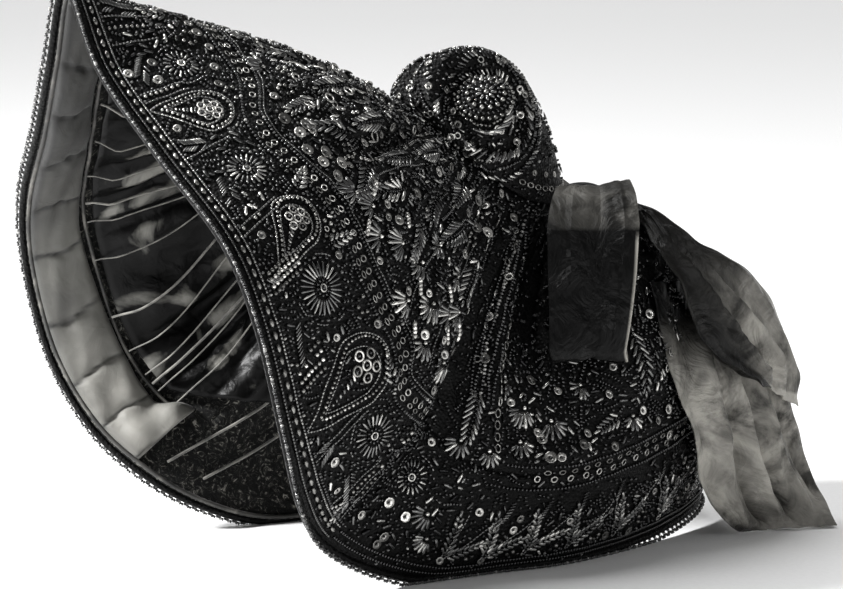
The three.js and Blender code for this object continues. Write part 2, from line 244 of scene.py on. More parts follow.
def drop_unused(mesh):
    """Removes the vertices that no face uses."""
    work = bmesh.new()
    work.from_mesh(mesh)
    loose = [v for v in work.verts if not v.link_faces]
    bmesh.ops.delete(work, geom=loose, context="VERTS")
    work.to_mesh(mesh)
    work.free()


# ---- Materials ------------------------------------------------------------------------------------
def linear(code):
    """An sRGB hex colour as linear numbers with alpha."""
    parts = [int(code[k : k + 2], 16) / 255 for k in (1, 3, 5)]
    return tuple(c / 12.92 if c <= 0.04045 else ((c + 0.055) / 1.055) ** 2.4 for c in parts) + (1.0,)


def node(tree, kind, values=None, links=None, **settings):
    """Adds a node. values and links are keyed by socket name or number; a link is (node, output)."""
    made = tree.nodes.new(kind)
    for name, value in settings.items():
        setattr(made, name, value)
    for key, value in (values or {}).items():
        made.inputs[key].default_value = value
    for key, (source, output) in (links or {}).items():
        tree.links.new(source.outputs[output], made.inputs[key])
    return made


def material(name, **shader):
    """A new material and its Principled shader with constants set on the shader's own sockets."""
    made = bpy.data.materials.new(name)
    made.use_nodes = True
    body = made.node_tree.nodes["Principled BSDF"]
    for key, value in shader.items():
        body.inputs[key.replace("_", " ")].default_value = value
    return made, made.node_tree, body


def ramp(tree, source, output, stops):
    made = node(tree, "ShaderNodeValToRGB", links={"Fac": (source, output)})
    elements = made.color_ramp.elements
    while len(elements) < len(stops):
        elements.new(0.5)
    for element, (place, colour) in zip(elements, stops):
        element.position = place
        element.color = linear(colour) if isinstance(colour, str) else (colour, colour, colour, 1)
    return made


def bump(tree, body, source, output, distance, strength=1.0, under=None):
    links = {"Height": (source, output)}
    if under:
        links["Normal"] = (under, "Normal")
    made = node(tree, "ShaderNodeBump", {"Strength": strength, "Distance": distance}, links)
    tree.links.new(made.outputs["Normal"], body.inputs["Normal"])
    return made


def black_glass():
    """Faceted black glass beads: near black, a hard shine, and each bead a little different."""
    made, tree, body = material("black_glass_beads", Roughness=0.16, IOR=1.52, Specular_IOR_Level=0.8)
    tone = node(tree, "ShaderNodeAttribute", attribute_name="tone", attribute_type="GEOMETRY")
    colour = ramp(tree, tone, "Fac",
        [(0.0, "#060606"), (0.55, "#1c1c1d"), (0.85, "#5a5a59"), (1.0, "#a9a8a5")])
    tree.links.new(colour.outputs["Color"], body.inputs["Base Color"])
    rough = ramp(tree, tone, "Fac", [(0.0, 0.3), (0.5, 0.12), (1.0, 0.22)])
    tree.links.new(rough.outputs["Color"], body.inputs["Roughness"])
    return made


def steel_bugle():
    """Lacquered metal-coloured bugle tubes: grey, with a long streak of light down each."""
    made, tree, body = material("lacquered_bugle_beads", Roughness=0.2, Metallic=0.85)
    tone = node(tree, "ShaderNodeAttribute", attribute_name="tone", attribute_type="GEOMETRY")
    colour = ramp(tree, tone, "Fac", [(0.0, "#1f1f20"), (0.5, "#737372"), (0.8, "#bebdb9"), (1.0, "#f6f4f0")])
    tree.links.new(colour.outputs["Color"], body.inputs["Base Color"])
    return made


def sequin_metal():
    """Stamped and lacquered metal sequins: bright where they face the light, dulled at the rim."""
    made, tree, body = material("stamped_metal_sequins", Roughness=0.25, Metallic=0.9)
    tone = node(tree, "ShaderNodeAttribute", attribute_name="tone", attribute_type="GEOMETRY")
    place = node(tree, "ShaderNodeTexCoord")
    wear = node(tree, "ShaderNodeTexNoise", {"Scale": 900.0, "Detail": 3.0}, {"Vector": (place, "Object")})
    colour = ramp(tree, tone, "Fac", [(0.0, "#262626"), (0.5, "#83827f"), (1.0, "#f8f6f1")])
    tree.links.new(colour.outputs["Color"], body.inputs["Base Color"])
    rough = ramp(tree, wear, "Fac", [(0.35, 0.16), (0.7, 0.4)])
    tree.links.new(rough.outputs["Color"], body.inputs["Roughness"])
    return made


def embroidery_ground():
    """Black cloth filled with the smallest beads: a fine glittering grain between the large ones."""
    made, tree, body = material("black_embroidery_ground", Roughness=0.5, Specular_IOR_Level=0.12)
    place = node(tree, "ShaderNodeTexCoord")
    grain = node(tree, "ShaderNodeTexVoronoi", {"Scale": 620.0, "Randomness": 0.8},
        {"Vector": (place, "Object")})
    cord = node(
        tree, "ShaderNodeTexNoise", {"Scale": 260.0, "Detail": 4.0, "Distortion": 1.2},
        {"Vector": (place, "Object")}
    )
    colour = ramp(tree, cord, "Fac", [(0.35, "#020202"), (0.6, "#060606"), (0.8, "#101010")])
    tree.links.new(colour.outputs["Color"], body.inputs["Base Color"])
    rough = ramp(tree, grain, "Distance", [(0.0, 0.22), (0.6, 0.6)])
    tree.links.new(rough.outputs["Color"], body.inputs["Roughness"])
    dome = node(tree, "ShaderNodeMath", {0: 1.0}, {1: (grain, "Distance")}, operation="SUBTRACT")
    bump(tree, body, dome, "Value", 0.0009, 0.7)
    return made


def embroidery_back():
    """The bare back of the work: black cloth matted with pale stitch ends and glue."""
    made, tree, body = material("embroidery_back", Roughness=0.75, Specular_IOR_Level=0.2)
    place = node(tree, "ShaderNodeTexCoord")
    strands = node(tree, "ShaderNodeTexNoise",
        {"Scale": 190.0, "Detail": 6.0, "Roughness": 0.75, "Distortion": 2.5},
                   {"Vector": (place, "Object")})
    colour = ramp(tree, strands, "Fac",
        [(0.44, "#050505"), (0.54, "#1b1b1a"), (0.60, "#55544f"), (0.66, "#a09e96")])
    tree.links.new(colour.outputs["Color"], body.inputs["Base Color"])
    bump(tree, body, strands, "Fac", 0.002, 0.9)
    return made


def satin():
    """Pale silk satin, woven and then quilted: soft broad sheen, fine threads, and painted shade along the tacked
    lines and over the middle by the peak, darker too along the outer edge.
    """
    made, tree, body = material("pale_silk_satin", Roughness=0.5, Sheen_Weight=0.15, Sheen_Roughness=0.35,
                                Specular_IOR_Level=0.35)
    place = node(tree, "ShaderNodeTexCoord")
    patch = node(tree, "ShaderNodeTexNoise", {"Scale": 30.0, "Detail": 5.0}, {"Vector": (place, "Object")})
    colour = ramp(tree, patch, "Fac", [(0.25, "#504f4c"), (0.5, "#71706b"), (0.78, "#94928c")])
    # painted shade mixed into the colour: dark on the tacked lines, along the outer edge and over the middle
    tuck = node(tree, "ShaderNodeAttribute", attribute_name="tuck", attribute_type="GEOMETRY")
    shaded = node(tree, "ShaderNodeMixRGB", {"Color2": linear("#1b1b1a")},
                  {"Fac": (tuck, "Fac"), "Color1": (colour, "Color")})
    tree.links.new(shaded.outputs["Color"], body.inputs["Base Color"])
    crease = node(
        tree, "ShaderNodeTexNoise", {"Scale": 85.0, "Detail": 5.0, "Distortion": 1.2},
        {"Vector": (place, "Object")}
    )
    first = bump(tree, body, crease, "Fac", 0.0012, 0.45)
    weave = node(tree, "ShaderNodeTexWave", {"Scale": 900.0, "Distortion": 0.5}, {"Vector": (place, "UV")})
    bump(tree, body, weave, "Fac", 0.00012, 0.25, under=first)
    return made


def lining_silk():
    """Dark shirred silk: black in the hollows, with patches along the tops of the folds painted paler, a painted
    highlight, and glossier there.
    """
    made, tree, body = material("dark_lining_silk", Roughness=0.3, Specular_IOR_Level=0.12)
    place = node(tree, "ShaderNodeTexCoord")
    patch = node(tree, "ShaderNodeTexNoise", {"Scale": 30.0, "Detail": 6.0, "Distortion": 0.8},
                 {"Vector": (place, "Object")})
    patchy = ramp(tree, patch, "Fac", [(0.42, 0.0), (0.62, 1.0)])
    ridge = node(tree, "ShaderNodeAttribute", attribute_name="ridge", attribute_type="GEOMETRY")
    # painted highlight: paler in patches along the fold tops
    amount = node(tree, "ShaderNodeMath", {}, {0: (patchy, "Color"), 1: (ridge, "Fac")}, operation="MULTIPLY")
    colour = ramp(tree, amount, "Value", [(0.0, "#020202"), (0.4, "#090909"), (1.0, "#7a7974")])
    tree.links.new(colour.outputs["Color"], body.inputs["Base Color"])
    rough = ramp(tree, amount, "Value", [(0.0, 0.36), (1.0, 0.22)])
    tree.links.new(rough.outputs["Color"], body.inputs["Roughness"])
    crease = node(
        tree, "ShaderNodeTexNoise", {"Scale": 120.0, "Detail": 6.0, "Distortion": 0.8},
        {"Vector": (place, "Object")}
    )
    bump(tree, body, crease, "Fac", 0.0016, 0.45)
    return made


def ribbon_silk():
    """Black figured silk: shiny leaves woven into a duller ground, paler grey in patches: on the tails real
    fading together with painted sheen, on each loop's top face painted light.
    """
    made, tree, body = material("black_figured_silk", Roughness=0.42, Specular_IOR_Level=0.16)
    place = node(tree, "ShaderNodeTexCoord")
    cells = node(tree, "ShaderNodeTexVoronoi", {"Scale": 75.0, "Smoothness": 0.6},
        {"Vector": (place, "Object")},
                 feature="SMOOTH_F1")
    warp = node(tree, "ShaderNodeTexNoise", {"Scale": 45.0, "Detail": 3.0, "Distortion": 2.5},
                {"Vector": (place, "Object")})
    figure = node(tree, "ShaderNodeMath", {}, {0: (cells, "Distance"), 1: (warp, "Fac")},
        operation="MULTIPLY")
    woven = ramp(tree, figure, "Value", [(0.13, "#0c0c0c"), (0.19, "#030303")])
    # paler tint: on the tails real fading and painted sheen, on the loops' top faces painted light
    faded = node(tree, "ShaderNodeAttribute", attribute_name="faded", attribute_type="GEOMETRY")
    blotch = node(tree, "ShaderNodeTexNoise",
        {"Scale": 28.0, "Detail": 7.0, "Roughness": 0.62, "Distortion": 1.0},
                  {"Vector": (place, "Object")})
    patchy = ramp(tree, blotch, "Fac", [(0.38, 0.12), (0.62, 1.0)])
    amount = node(tree, "ShaderNodeMath", {}, {0: (patchy, "Color"), 1: (faded, "Fac")}, operation="MULTIPLY")
    tint = node(tree, "ShaderNodeMixRGB", {"Color2": linear("#bcb9b1")},
                {"Fac": (amount, "Value"), "Color1": (woven, "Color")})
    edge = node(tree, "ShaderNodeAttribute", attribute_name="selvage", attribute_type="GEOMETRY")
    mix = node(tree, "ShaderNodeMixRGB", {"Color2": linear("#b5b2aa")},
        {"Fac": (edge, "Fac"), "Color1": (tint, "Color")})
    tree.links.new(mix.outputs["Color"], body.inputs["Base Color"])
    rough = ramp(tree, figure, "Value", [(0.13, 0.25), (0.19, 0.42)])
    tree.links.new(rough.outputs["Color"], body.inputs["Roughness"])
    crease = node(
        tree, "ShaderNodeTexNoise", {"Scale": 42.0, "Detail": 6.0, "Distortion": 1.4},
        {"Vector": (place, "Object")}
    )
    first = bump(tree, body, crease, "Fac", 0.008, 0.75)
    rib = node(tree, "ShaderNodeTexWave", {"Scale": 160.0, "Distortion": 0.3}, {"Vector": (place, "UV")})
    bump(tree, body, rib, "Fac", 0.0001, 0.3, under=first)
    return made


def pale_thread():
    """Undyed linen thread and cord: matt, pale, with a visible twist."""
    made, tree, body = material("pale_linen_thread", Roughness=0.75, Sheen_Weight=0.3)
    place = node(tree, "ShaderNodeTexCoord")
    dirt = node(tree, "ShaderNodeTexNoise", {"Scale": 160.0, "Detail": 3.0}, {"Vector": (place, "Object")})
    colour = ramp(tree, dirt, "Fac", [(0.3, "#4d4c49"), (0.7, "#83817b")])
    tree.links.new(colour.outputs["Color"], body.inputs["Base Color"])
    bump(tree, body, dirt, "Fac", 0.0004, 0.5)
    return made


def dark_cord():
    """Tarnished silk-covered cord: dark, with the worn tops of its twist showing grey."""
    made, tree, body = material("tarnished_silk_cord", Roughness=0.6, Sheen_Weight=0.1)
    place = node(tree, "ShaderNodeTexCoord")
    patchy = node(tree, "ShaderNodeTexNoise", {"Scale": 75.0, "Detail": 4.0}, {"Vector": (place, "Object")})
    colour = ramp(tree, patchy, "Fac", [(0.35, "#161615"), (0.55, "#33322f"), (0.72, "#74726c")])
    tree.links.new(colour.outputs["Color"], body.inputs["Base Color"])
    bump(tree, body, patchy, "Fac", 0.0005, 0.5)
    return made


def paper_floor():
    """The plain pale paper the bonnet stands on."""
    made, tree, body = material("pale_paper", Roughness=0.9)
    place = node(tree, "ShaderNodeTexCoord")
    tooth = node(tree, "ShaderNodeTexNoise", {"Scale": 400.0, "Detail": 2.0}, {"Vector": (place, "Object")})
    colour = ramp(tree, tooth, "Fac", [(0.3, "#f6f6f6"), (0.7, "#fafafa")])
    tree.links.new(colour.outputs["Color"], body.inputs["Base Color"])
    return made


GLASS = black_glass()
BUGLE = steel_bugle()
SEQUIN = sequin_metal()
GROUND = embroidery_ground()
BACK = embroidery_back()
SATIN = satin()
LINING = lining_silk()
RIBBON = ribbon_silk()
THREAD = pale_thread()
DARK_CORD = dark_cord()
PAPER = paper_floor()


# ---- Camera, light and floor ------------------------------------------------------------------------
AZIMUTH, ELEVATION = math.radians(60), math.radians(8)
DISTANCE = 1.8
LENS = 160.1
SKYLIGHT = 1.9
BACK_VECTOR = Vector(
    (math.sin(AZIMUTH) * math.cos(ELEVATION), -math.cos(AZIMUTH) * math.cos(ELEVATION), math.sin(ELEVATION))
)


def set_camera():
    camera = link(bpy.data.objects.new("camera", bpy.data.cameras.new("camera")))
    camera.data.lens = LENS
    camera.data.sensor_width = 36
    camera.data.clip_start = 0.05
    target = Vector((np.array([0, 233.6, 121.5]) + SHIFT) * MM)
    camera.location = target + BACK_VECTOR * DISTANCE
    camera.rotation_mode = "QUATERNION"
    camera.rotation_quaternion = (-BACK_VECTOR).to_track_quat("-Z", "Y")
    bpy.context.scene.camera = camera


def area_light(name, place, aim, size, power):
    lamp = bpy.data.lights.new(name, "AREA")
    lamp.shape = "DISK"
    lamp.size = size
    lamp.energy = power
    obj = link(bpy.data.objects.new(name, lamp))
    obj.location = place
    obj.rotation_mode = "QUATERNION"
    obj.rotation_quaternion = (Vector(aim) - Vector(place)).to_track_quat("-Z", "Y")


def set_light():
    bpy.context.scene.view_settings.view_transform = "Standard"
    away = Vector((-math.sin(AZIMUTH), math.cos(AZIMUTH), 0))
    left = Vector((-math.cos(AZIMUTH), -math.sin(AZIMUTH), 0))
    up = Vector((0, 0, 1))
    area_light("window", left * 1.9 - away * 0.5 + up * 1.3, (0, 0, 0.12), 0.34, 135)
    area_light("fill", -left * 1.4 - away * 1.4 + up * 0.9, (0, 0, 0.1), 0.6, 5)
    soft_sun = bpy.data.lights.new("skylight", "SUN")
    soft_sun.energy = SKYLIGHT
    soft_sun.angle = math.radians(35)
    lamp = link(bpy.data.objects.new("skylight", soft_sun))
    lamp.rotation_mode = "QUATERNION"
    lamp.rotation_quaternion = (-(up * 1.0 + left * 0.25 + away * 0.3)).to_track_quat("-Z", "Y")
    world = bpy.data.worlds.new("studio")
    bpy.context.scene.world = world
    world.use_nodes = True
    sky = world.node_tree
    place = node(sky, "ShaderNodeTexCoord")
    height = node(sky, "ShaderNodeSeparateXYZ", links={"Vector": (place, "Generated")})
    paper = ramp(sky, height, "Z", [(0.10, "#eeeeee"), (0.22, "#707070")])
    sky.links.new(paper.outputs["Color"], sky.nodes["Background"].inputs["Color"])


def make_floor():
    """Plain paper, wide enough to fill the view from any side."""
    half = 9.0
    corners = [(-half, -half, 0), (half, -half, 0), (half, half, 0), (-half, half, 0)]
    mesh = bpy.data.meshes.new("floor")
    mesh.from_pydata(corners, [], [(0, 1, 2, 3)])
    mesh.materials.append(PAPER)
    link(bpy.data.objects.new("floor", mesh))


set_camera()
set_light()
make_floor()


def done(obj, slot, *nodes):
    """The piece rides with the bonnet and stands for CAD nodes. slot is not used."""
    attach(obj, "root")
    if nodes:
        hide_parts(*nodes)
    return obj


# ---- The worked cloth -----------------------------------------------------------------------------
def seam(spoke):
    s = from_peak(spoke)
    i = np.minimum(np.floor(s).astype(int), HALF - 1)
    table = np.array(SEAM)
    return table[i] + (table[i + 1] - table[i]) * smoothstep(0, 1, s - i)


def cloth(name, spokes, start, end, columns, rows, closed=False):
    def face(depth):
        def at(i, j):
            spoke = spokes[0] + (spokes[1] - spokes[0]) * i
            return shell(spoke, start(spoke) + (end(spoke) - start(spoke)) * j, depth)

        return at

    return wall(name, face(0.0), face(BEADED_WALL), columns, rows, [GROUND, BACK], closed, inner_slot=1)


SEAM_GAP, PART_GAP = 0.0004, 0.0  # in r and in spokes: the sewn edges nearly meet
CLOTH_END = 0.979
crown = cloth("crown_cloth", (0, ROUND), lambda s: 0 * s, lambda s: seam(s) - SEAM_GAP / 2, 280, 44, True)
done(crown, "beaded_cloth", "crown")
brim = cloth("brim_cloth", (-JAW + PART_GAP, JAW - PART_GAP), lambda s: seam(s) + SEAM_GAP / 2,
             lambda s: 0 * s + CLOTH_END, 168, 36)
done(brim, "beaded_cloth", "brim")
nape = cloth("nape_cloth", (JAW + PART_GAP, ROUND - JAW - PART_GAP), lambda s: seam(s) + SEAM_GAP / 2,
             lambda s: 0 * s + CLOTH_END, 168, 24)
done(nape, "beaded_cloth", "nape_band")


# ---- Laying beads on a surface ----------------------------------------------------------------------
class Skin:
    """A surface point(u, v), kept as a fine grid, with steps along it measured in mm."""

    def __init__(self, point, part, u_span, v_span, columns, rows):
        self.part = part
        # painted shade on the beads in folds: none unless the skin is given its own
        self.fold_shade = lambda u, v: np.zeros(np.shape(u))
        self.u_span, self.v_span = u_span, v_span
        self.u = np.linspace(*u_span, columns)
        self.v = np.linspace(*v_span, rows)
        self.points = point(*np.meshgrid(self.u, self.v, indexing="ij"))
        self.by_u = np.gradient(self.points, self.u, axis=0)
        self.by_v = np.gradient(self.points, self.v, axis=1)
        self.out = unit(np.cross(self.by_v, self.by_u))

    def look(self, table, u, v):
        a = np.clip((u - self.u[0]) / (self.u[1] - self.u[0]), 0, len(self.u) - 1.001)
        b = np.clip((v - self.v[0]) / (self.v[1] - self.v[0]), 0, len(self.v) - 1.001)
        i, j = a.astype(int), b.astype(int)
        p, q = (a - i)[..., None], (b - j)[..., None]
        near = table[i, j] * (1 - q) + table[i, j + 1] * q
        far = table[i + 1, j] * (1 - q) + table[i + 1, j + 1] * q
        return near * (1 - p) + far * p

    def axes(self, u, v):
        """Unit vectors across and down at a place, its outward normal, and the raw slopes."""
        du, dv = self.look(self.by_u, u, v), self.look(self.by_v, u, v)
        out = unit(self.look(self.out, u, v))
        down = unit(dv - out * (dv * out).sum(-1, keepdims=True))
        across = np.cross(down, out)
        across = across * np.sign((across * du).sum(-1, keepdims=True))
        return across, down, out, du, dv

    def step(self, u, v, x, y):
        """The place reached by going x mm across and y mm down from (u, v)."""
        across, down, _, du, dv = self.axes(u, v)
        a11, a12 = (du * across).sum(-1), (dv * across).sum(-1)
        a21, a22 = (du * down).sum(-1), (dv * down).sum(-1)
        det = a11 * a22 - a12 * a21
        det = np.where(np.abs(det) < 1e-3, 1e-3, det)
        return u + (a22 * x - a12 * y) / det, v + (a11 * y - a21 * x) / det


class Trays:
    """Every bead that is sewn on, by kind, and which cubic millimetres of cloth are taken."""

    CORNER = np.array([-150.0, 20.0, -20.0])

    def __init__(self):
        self.beads = {}
        self.taken = np.zeros((300, 430, 320), bool)

    def cells(self, points):
        return tuple(np.clip((points - self.CORNER).astype(int), 1, np.array(self.taken.shape) - 2).T)

    def free(self, points):
        return ~self.taken[self.cells(points.reshape(-1, 3))].reshape(points.shape[:-1])

    def take(self, points, reach):
        steps = np.arange(-2, 3)
        ball = np.array([(a, b, c) for a in steps for b in steps for c in steps])
        ball = ball[np.linalg.norm(ball, axis=1) <= reach]
        spread = (points.reshape(-1, 1, 3) + ball).reshape(-1, 3)
        self.taken[self.cells(spread)] = True

    def add(self, kind, part, points, lie, out, size, tone):
        self.beads.setdefault(kind, []).append((part, points, lie, out, size, tone))

    def of_kind(self, kind, part):
        """Points, lie, out, size and tone of the beads of one kind on one part."""
        table = [np.concatenate(column) for column in zip(*self.beads[kind])]
        return [column[table[0] == part] for column in table[1:]]


dice = np.random.default_rng(7)
TRAYS = Trays()
LIFT = {"seed": 0.8, "bugle": 0.8, "sequin": 1.0, "ring": 0.9, "link": 0.7, "pearl": 1.0}
HALF_LONG = {"seed": 0.9, "bugle": 2.5, "sequin": 2.6, "ring": 2.4, "link": 2.6, "pearl": 1.3}
HALF_WIDE = {"seed": 0.9, "bugle": 0.7, "sequin": 2.6, "ring": 2.4, "link": 1.6, "pearl": 1.3}


def sew(skin, kind, u, v, angle=0.0, size=1.0, long=None, tone=None, lift=0.0, over=False):
    """Sews beads at places (u, v), lying at an angle from across towards down.

    size scales the whole bead and long its length alone. Beads that would lie on others are left
    out unless over is set.
    """
    u, v, angle = np.broadcast_arrays(*[np.atleast_1d(np.asarray(k, float)) for k in (u, v, angle)])
    point = skin.look(skin.points, u, v)
    across, down, out, _, _ = skin.axes(u, v)
    lie = across * np.cos(angle)[:, None] + down * np.sin(angle)[:, None]
    size = np.broadcast_to(size, u.shape).astype(float)
    long = size if long is None else np.broadcast_to(long, u.shape)
    scale = np.stack([long, size, size], -1)
    if tone is None:
        tone = np.where(dice.random(len(u)) < 0.12, 1.0, dice.random(len(u)) ** 1.8)
    # each bead's tone is darkened by the skin's painted shade in the folds
    tone = np.broadcast_to(tone, u.shape) * dice.uniform(0.55, 1.05, u.shape) * (1 - skin.fold_shade(u, v))
    reach = np.linspace(-1, 1, 5)[:, None, None] * (lie * (HALF_LONG[kind] * long)[:, None])
    part = skin.part(u, v)
    if not over:
        keep = TRAYS.free(point + reach * 0.8).all(0)
        part, point, lie, out, scale, tone = (k[keep] for k in (part, point, lie, out, scale, tone))
        reach = reach[:, keep]
    TRAYS.take((point + reach).reshape(-1, 3), 0.9 + HALF_WIDE[kind] * 0.55)
    TRAYS.add(kind, part, point + out * (LIFT[kind] + lift), lie, out, scale, tone)
    return len(point)


SHADED_FOLDS = [  # painted shade: where the beads are darkened deep in folds: spoke, width, r, height, how much
    (7.1, 0.45, 0.34, 0.24, 0.85),
    (10.4, 1.7, 0.2, 0.2, 0.9),
    (13.4, 1.0, 0.3, 0.3, 0.8),
    (10.5, 2.0, 0.71, 0.035, 0.85),
    (6.9, 0.3, 0.72, 0.14, 0.5),
    (2.9, 0.3, 0.2, 0.12, 0.6),
    (4.4, 0.25, 0.18, 0.12, 0.5),
]


def painted_fold_shade(u, v):
    """How much painted shade darkens the shell's beads at (u, v), 0 to 1, the same on both sides."""
    s = from_peak(u)
    fold_shade = np.zeros(np.shape(s))
    for spoke, wide, r, tall, amount in SHADED_FOLDS:
        fold_shade = np.maximum(fold_shade, amount * np.exp(-(((s - spoke) / wide) ** 4) - ((v - r) / tall) ** 4))
    return fold_shade


# ---- Motifs: each is set out in mm round a place on the skin ----------------------------------------
class Motif:
    """A place on a skin with a turn: shapes are drawn in mm, +y towards the edge when unturned."""

    def __init__(self, skin, u, v, turn=0.0, grow=1.0):
        self.skin, self.u, self.v, self.turn, self.grow = skin, u, v, turn, grow

    def place(self, x, y, angle=0.0):
        x, y = np.atleast_1d(np.asarray(x, float)) * self.grow, np.atleast_1d(np.asarray(y,
            float)) * self.grow
        c, s = math.cos(self.turn), math.sin(self.turn)
        gx, gy = x * c - y * s, x * s + y * c
        u, v = np.full(gx.shape, float(self.u)), np.full(gx.shape, float(self.v))
        for _ in range(4):
            u, v = self.skin.step(u, v, gx / 4, gy / 4)
        return u, v, np.asarray(angle) + self.turn

    def sew(self, kind, x, y, angle=0.0, **more):
        u, v, turned = self.place(x, y, angle)
        inside = (v > self.skin.v_span[0]) & (v < self.skin.v_span[1])
        turned = np.broadcast_to(turned, u.shape)
        more = {k: (val[: len(u)][inside] if isinstance(val, np.ndarray) and len(val) >= len(u) else val)
                for k, val in more.items()}
        if inside.any():
            sew(self.skin, kind, u[inside], v[inside], turned[inside], **more)

    def line(self, kind, points, pitch, **more):
        """Beads end to end along a smooth line through points."""
        x, y, angle = evenly(points, pitch)
        self.sew(kind, x, y, angle, **more)


def evenly(points, pitch):
    """Places a pitch apart on a smooth line through points, and the line's direction at each."""
    p = np.asarray(points, float)
    ends = np.concatenate([[2 * p[0] - p[1]], p, [2 * p[-1] - p[-2]]])
    fine = np.concatenate(
        [between(*ends[k : k + 4],
        np.linspace(0, 1, 20, endpoint=False)) for k in range(len(p) - 1)] + [p[-1:]]
    )
    gone = np.concatenate([[0], np.cumsum(np.linalg.norm(np.diff(fine, axis=0), axis=1))])
    count = max(int(gone[-1] / pitch), 1)
    at = (np.arange(count) + 0.5) * gone[-1] / count
    x, y = np.interp(at, gone, fine[:, 0]), np.interp(at, gone, fine[:, 1])
    slope = np.gradient(fine, axis=0)
    angle = np.arctan2(np.interp(at, gone, slope[:, 1]), np.interp(at, gone, slope[:, 0]))
    return x, y, angle


def circle(radius, count, start=0.0):
    a = start + 2 * np.pi * np.arange(count) / count
    return radius * np.cos(a), radius * np.sin(a), a


def daisy(m, radius=10.0, petals=18, heart="ring"):
    """Long petals of bugles round a ring, with a bead in the gap at each petal's tip."""
    m.sew(heart, 0, 0, size=0.75, tone=1.0, over=True)
    m.sew("seed", 0, 0, tone=0.9, lift=0.6, over=True)
    x, y, a = circle(3.3, 10)
    m.sew("seed", x, y, a + np.pi / 2, size=0.8, tone=0.5, over=True)
    inner, outer = 4.2, radius - 0.8
    x, y, a = circle((inner + outer) / 2, petals)
    m.sew("bugle", x, y, a, long=(outer - inner) / 5.2, size=0.72, tone=0.35 + 0.6 * dice.random(petals),
        over=True)
    x, y, a = circle(radius + 0.2, petals, np.pi / petals)
    m.sew("seed", x, y, a, size=0.95, tone=dice.random(petals), over=True)
    x, y, a = circle(radius + 2.0, int(petals * 2.2), 0.09)
    m.sew("bugle", x, y, a + np.pi / 2, long=0.36, size=0.6, tone=0.5)


def teardrop(long, wide, bend, count=60):
    """A paisley outline: round near the origin, drawn out to a bent tip at +y."""
    a = np.linspace(0, 2 * np.pi, count)
    t = 0.5 - 0.5 * np.cos(a)
    x = np.sign(np.sin(a)) * wide * 0.5 * np.sqrt(np.clip(1 - (1 - t / 0.38) ** 2, 0, 1))
    tail = np.sign(np.sin(a)) * wide * 0.5 * (1 - np.clip((t - 0.38) / 0.62, 0, 1)) ** 0.9
    x = np.where(t < 0.38, x, tail) + bend * smoothstep(0.3, 1, t)
    return np.stack([x, t * long - wide * 0.5], -1)


def paisley(m, long=26.0, wide=16.0, bend=5.0, rings=6, striped=True):
    outline = teardrop(long, wide, bend)
    middle = np.array([bend * 0.1, long * 0.06])
    m.line("bugle", outline * 1.2 + middle * 0.5, 1.75, long=0.36, size=0.62, tone=0.7, over=True)
    m.line("pearl", outline, 2.3, size=0.62, tone=0.25 + 0.7 * dice.random(400), over=True)
    m.line("bugle", outline * 0.8 + middle, 1.75, long=0.36, size=0.6, tone=0.6, over=True)
    x, y, a = circle(wide * 0.21, rings - 1, 0.4)
    x, y = np.append(x, 0.0), np.append(y, 0.0)
    m.sew("ring", x, y + 0.5, size=0.6 * wide / 16, tone=0.85, over=True)
    m.sew("seed", x, y + 0.5, size=0.8, tone=0.8, lift=0.4, over=True)
    if striped:
        for k in range(9):
            t = 0.42 + 0.055 * k
            m.sew("bugle", bend * smoothstep(0.3, 1, t), long * t - wide * 0.5, 0.25, long=0.95 - 0.095 * k,
                size=0.75,
                  tone=0.35 + 0.6 * (k % 2), over=True)


def fan(m, blades=6, spread=1.9, length=6.0, tone=None, tip=True):
    """Bugles that open like a hand from one point, towards +y."""
    a = np.pi / 2 + np.linspace(-spread / 2, spread / 2, blades)
    length = length * (0.8 + 0.3 * np.cos(np.linspace(-1.3, 1.3, blades)))
    mid = 1.4 + length / 2
    tone = 0.35 + 0.65 * dice.random(blades) if tone is None else tone
    m.sew("bugle", mid * np.cos(a), mid * np.sin(a), a, long=length / 5.2, size=1.2, tone=tone, over=True)
    if tip:
        end = 2.4 + length
        m.sew("seed", end * np.cos(a), end * np.sin(a), a, size=0.85)
    m.sew("pearl", 0, 0, size=0.8, tone=1.0, over=True)


def leaf(m, long=20.0, blades=6, length=6.5, tilt=0.75, bend=0.0, tone=None):
    """Pairs of bugles up a stem of seeds, shorter towards the tip at +y."""
    t = (np.arange(blades) + 0.5) / blades
    mid_x = bend * t**2
    size = length * (1 - 0.4 * t)
    shine = 0.2 + 0.75 * dice.random(blades) if tone is None else tone
    for side in (-1, 1):
        a = np.pi / 2 - side * tilt * (1 - 0.35 * t)
        off = 0.9 + size / 2
        m.sew("bugle", mid_x + off * np.cos(a), long * t + off * np.sin(a) * 0.6, a, long=size / 5.2,
            size=1.05,
              tone=shine, over=True)
    m.line("seed", [(0, -2), (bend * 0.25, long * 0.5), (bend, long)], 1.9, size=0.6, tone=0.3, over=True)
    m.sew("bugle", bend, long + 2.5, np.pi / 2, long=0.9, size=1.0, tone=0.8, over=True)


def herringbone(m, long=16.0, blades=7, length=4.0):
    y = np.linspace(0, long, blades + 3)
    for side in (-1, 1):
        m.sew("bugle", np.full(blades + 3, side * length * 0.42), y, np.pi / 2 - side * 0.8,
            long=length / 5.0, size=0.62,
              tone=0.3 + 0.4 * dice.random(blades + 3))


def flower(m, petals=6, radius=3.4, tone=0.8):
    x, y, a = circle(radius, petals)
    m.sew("pearl", x, y, a, size=0.8, tone=tone * dice.random(petals))
    m.sew("ring", 0, 0, size=0.5, tone=0.7)


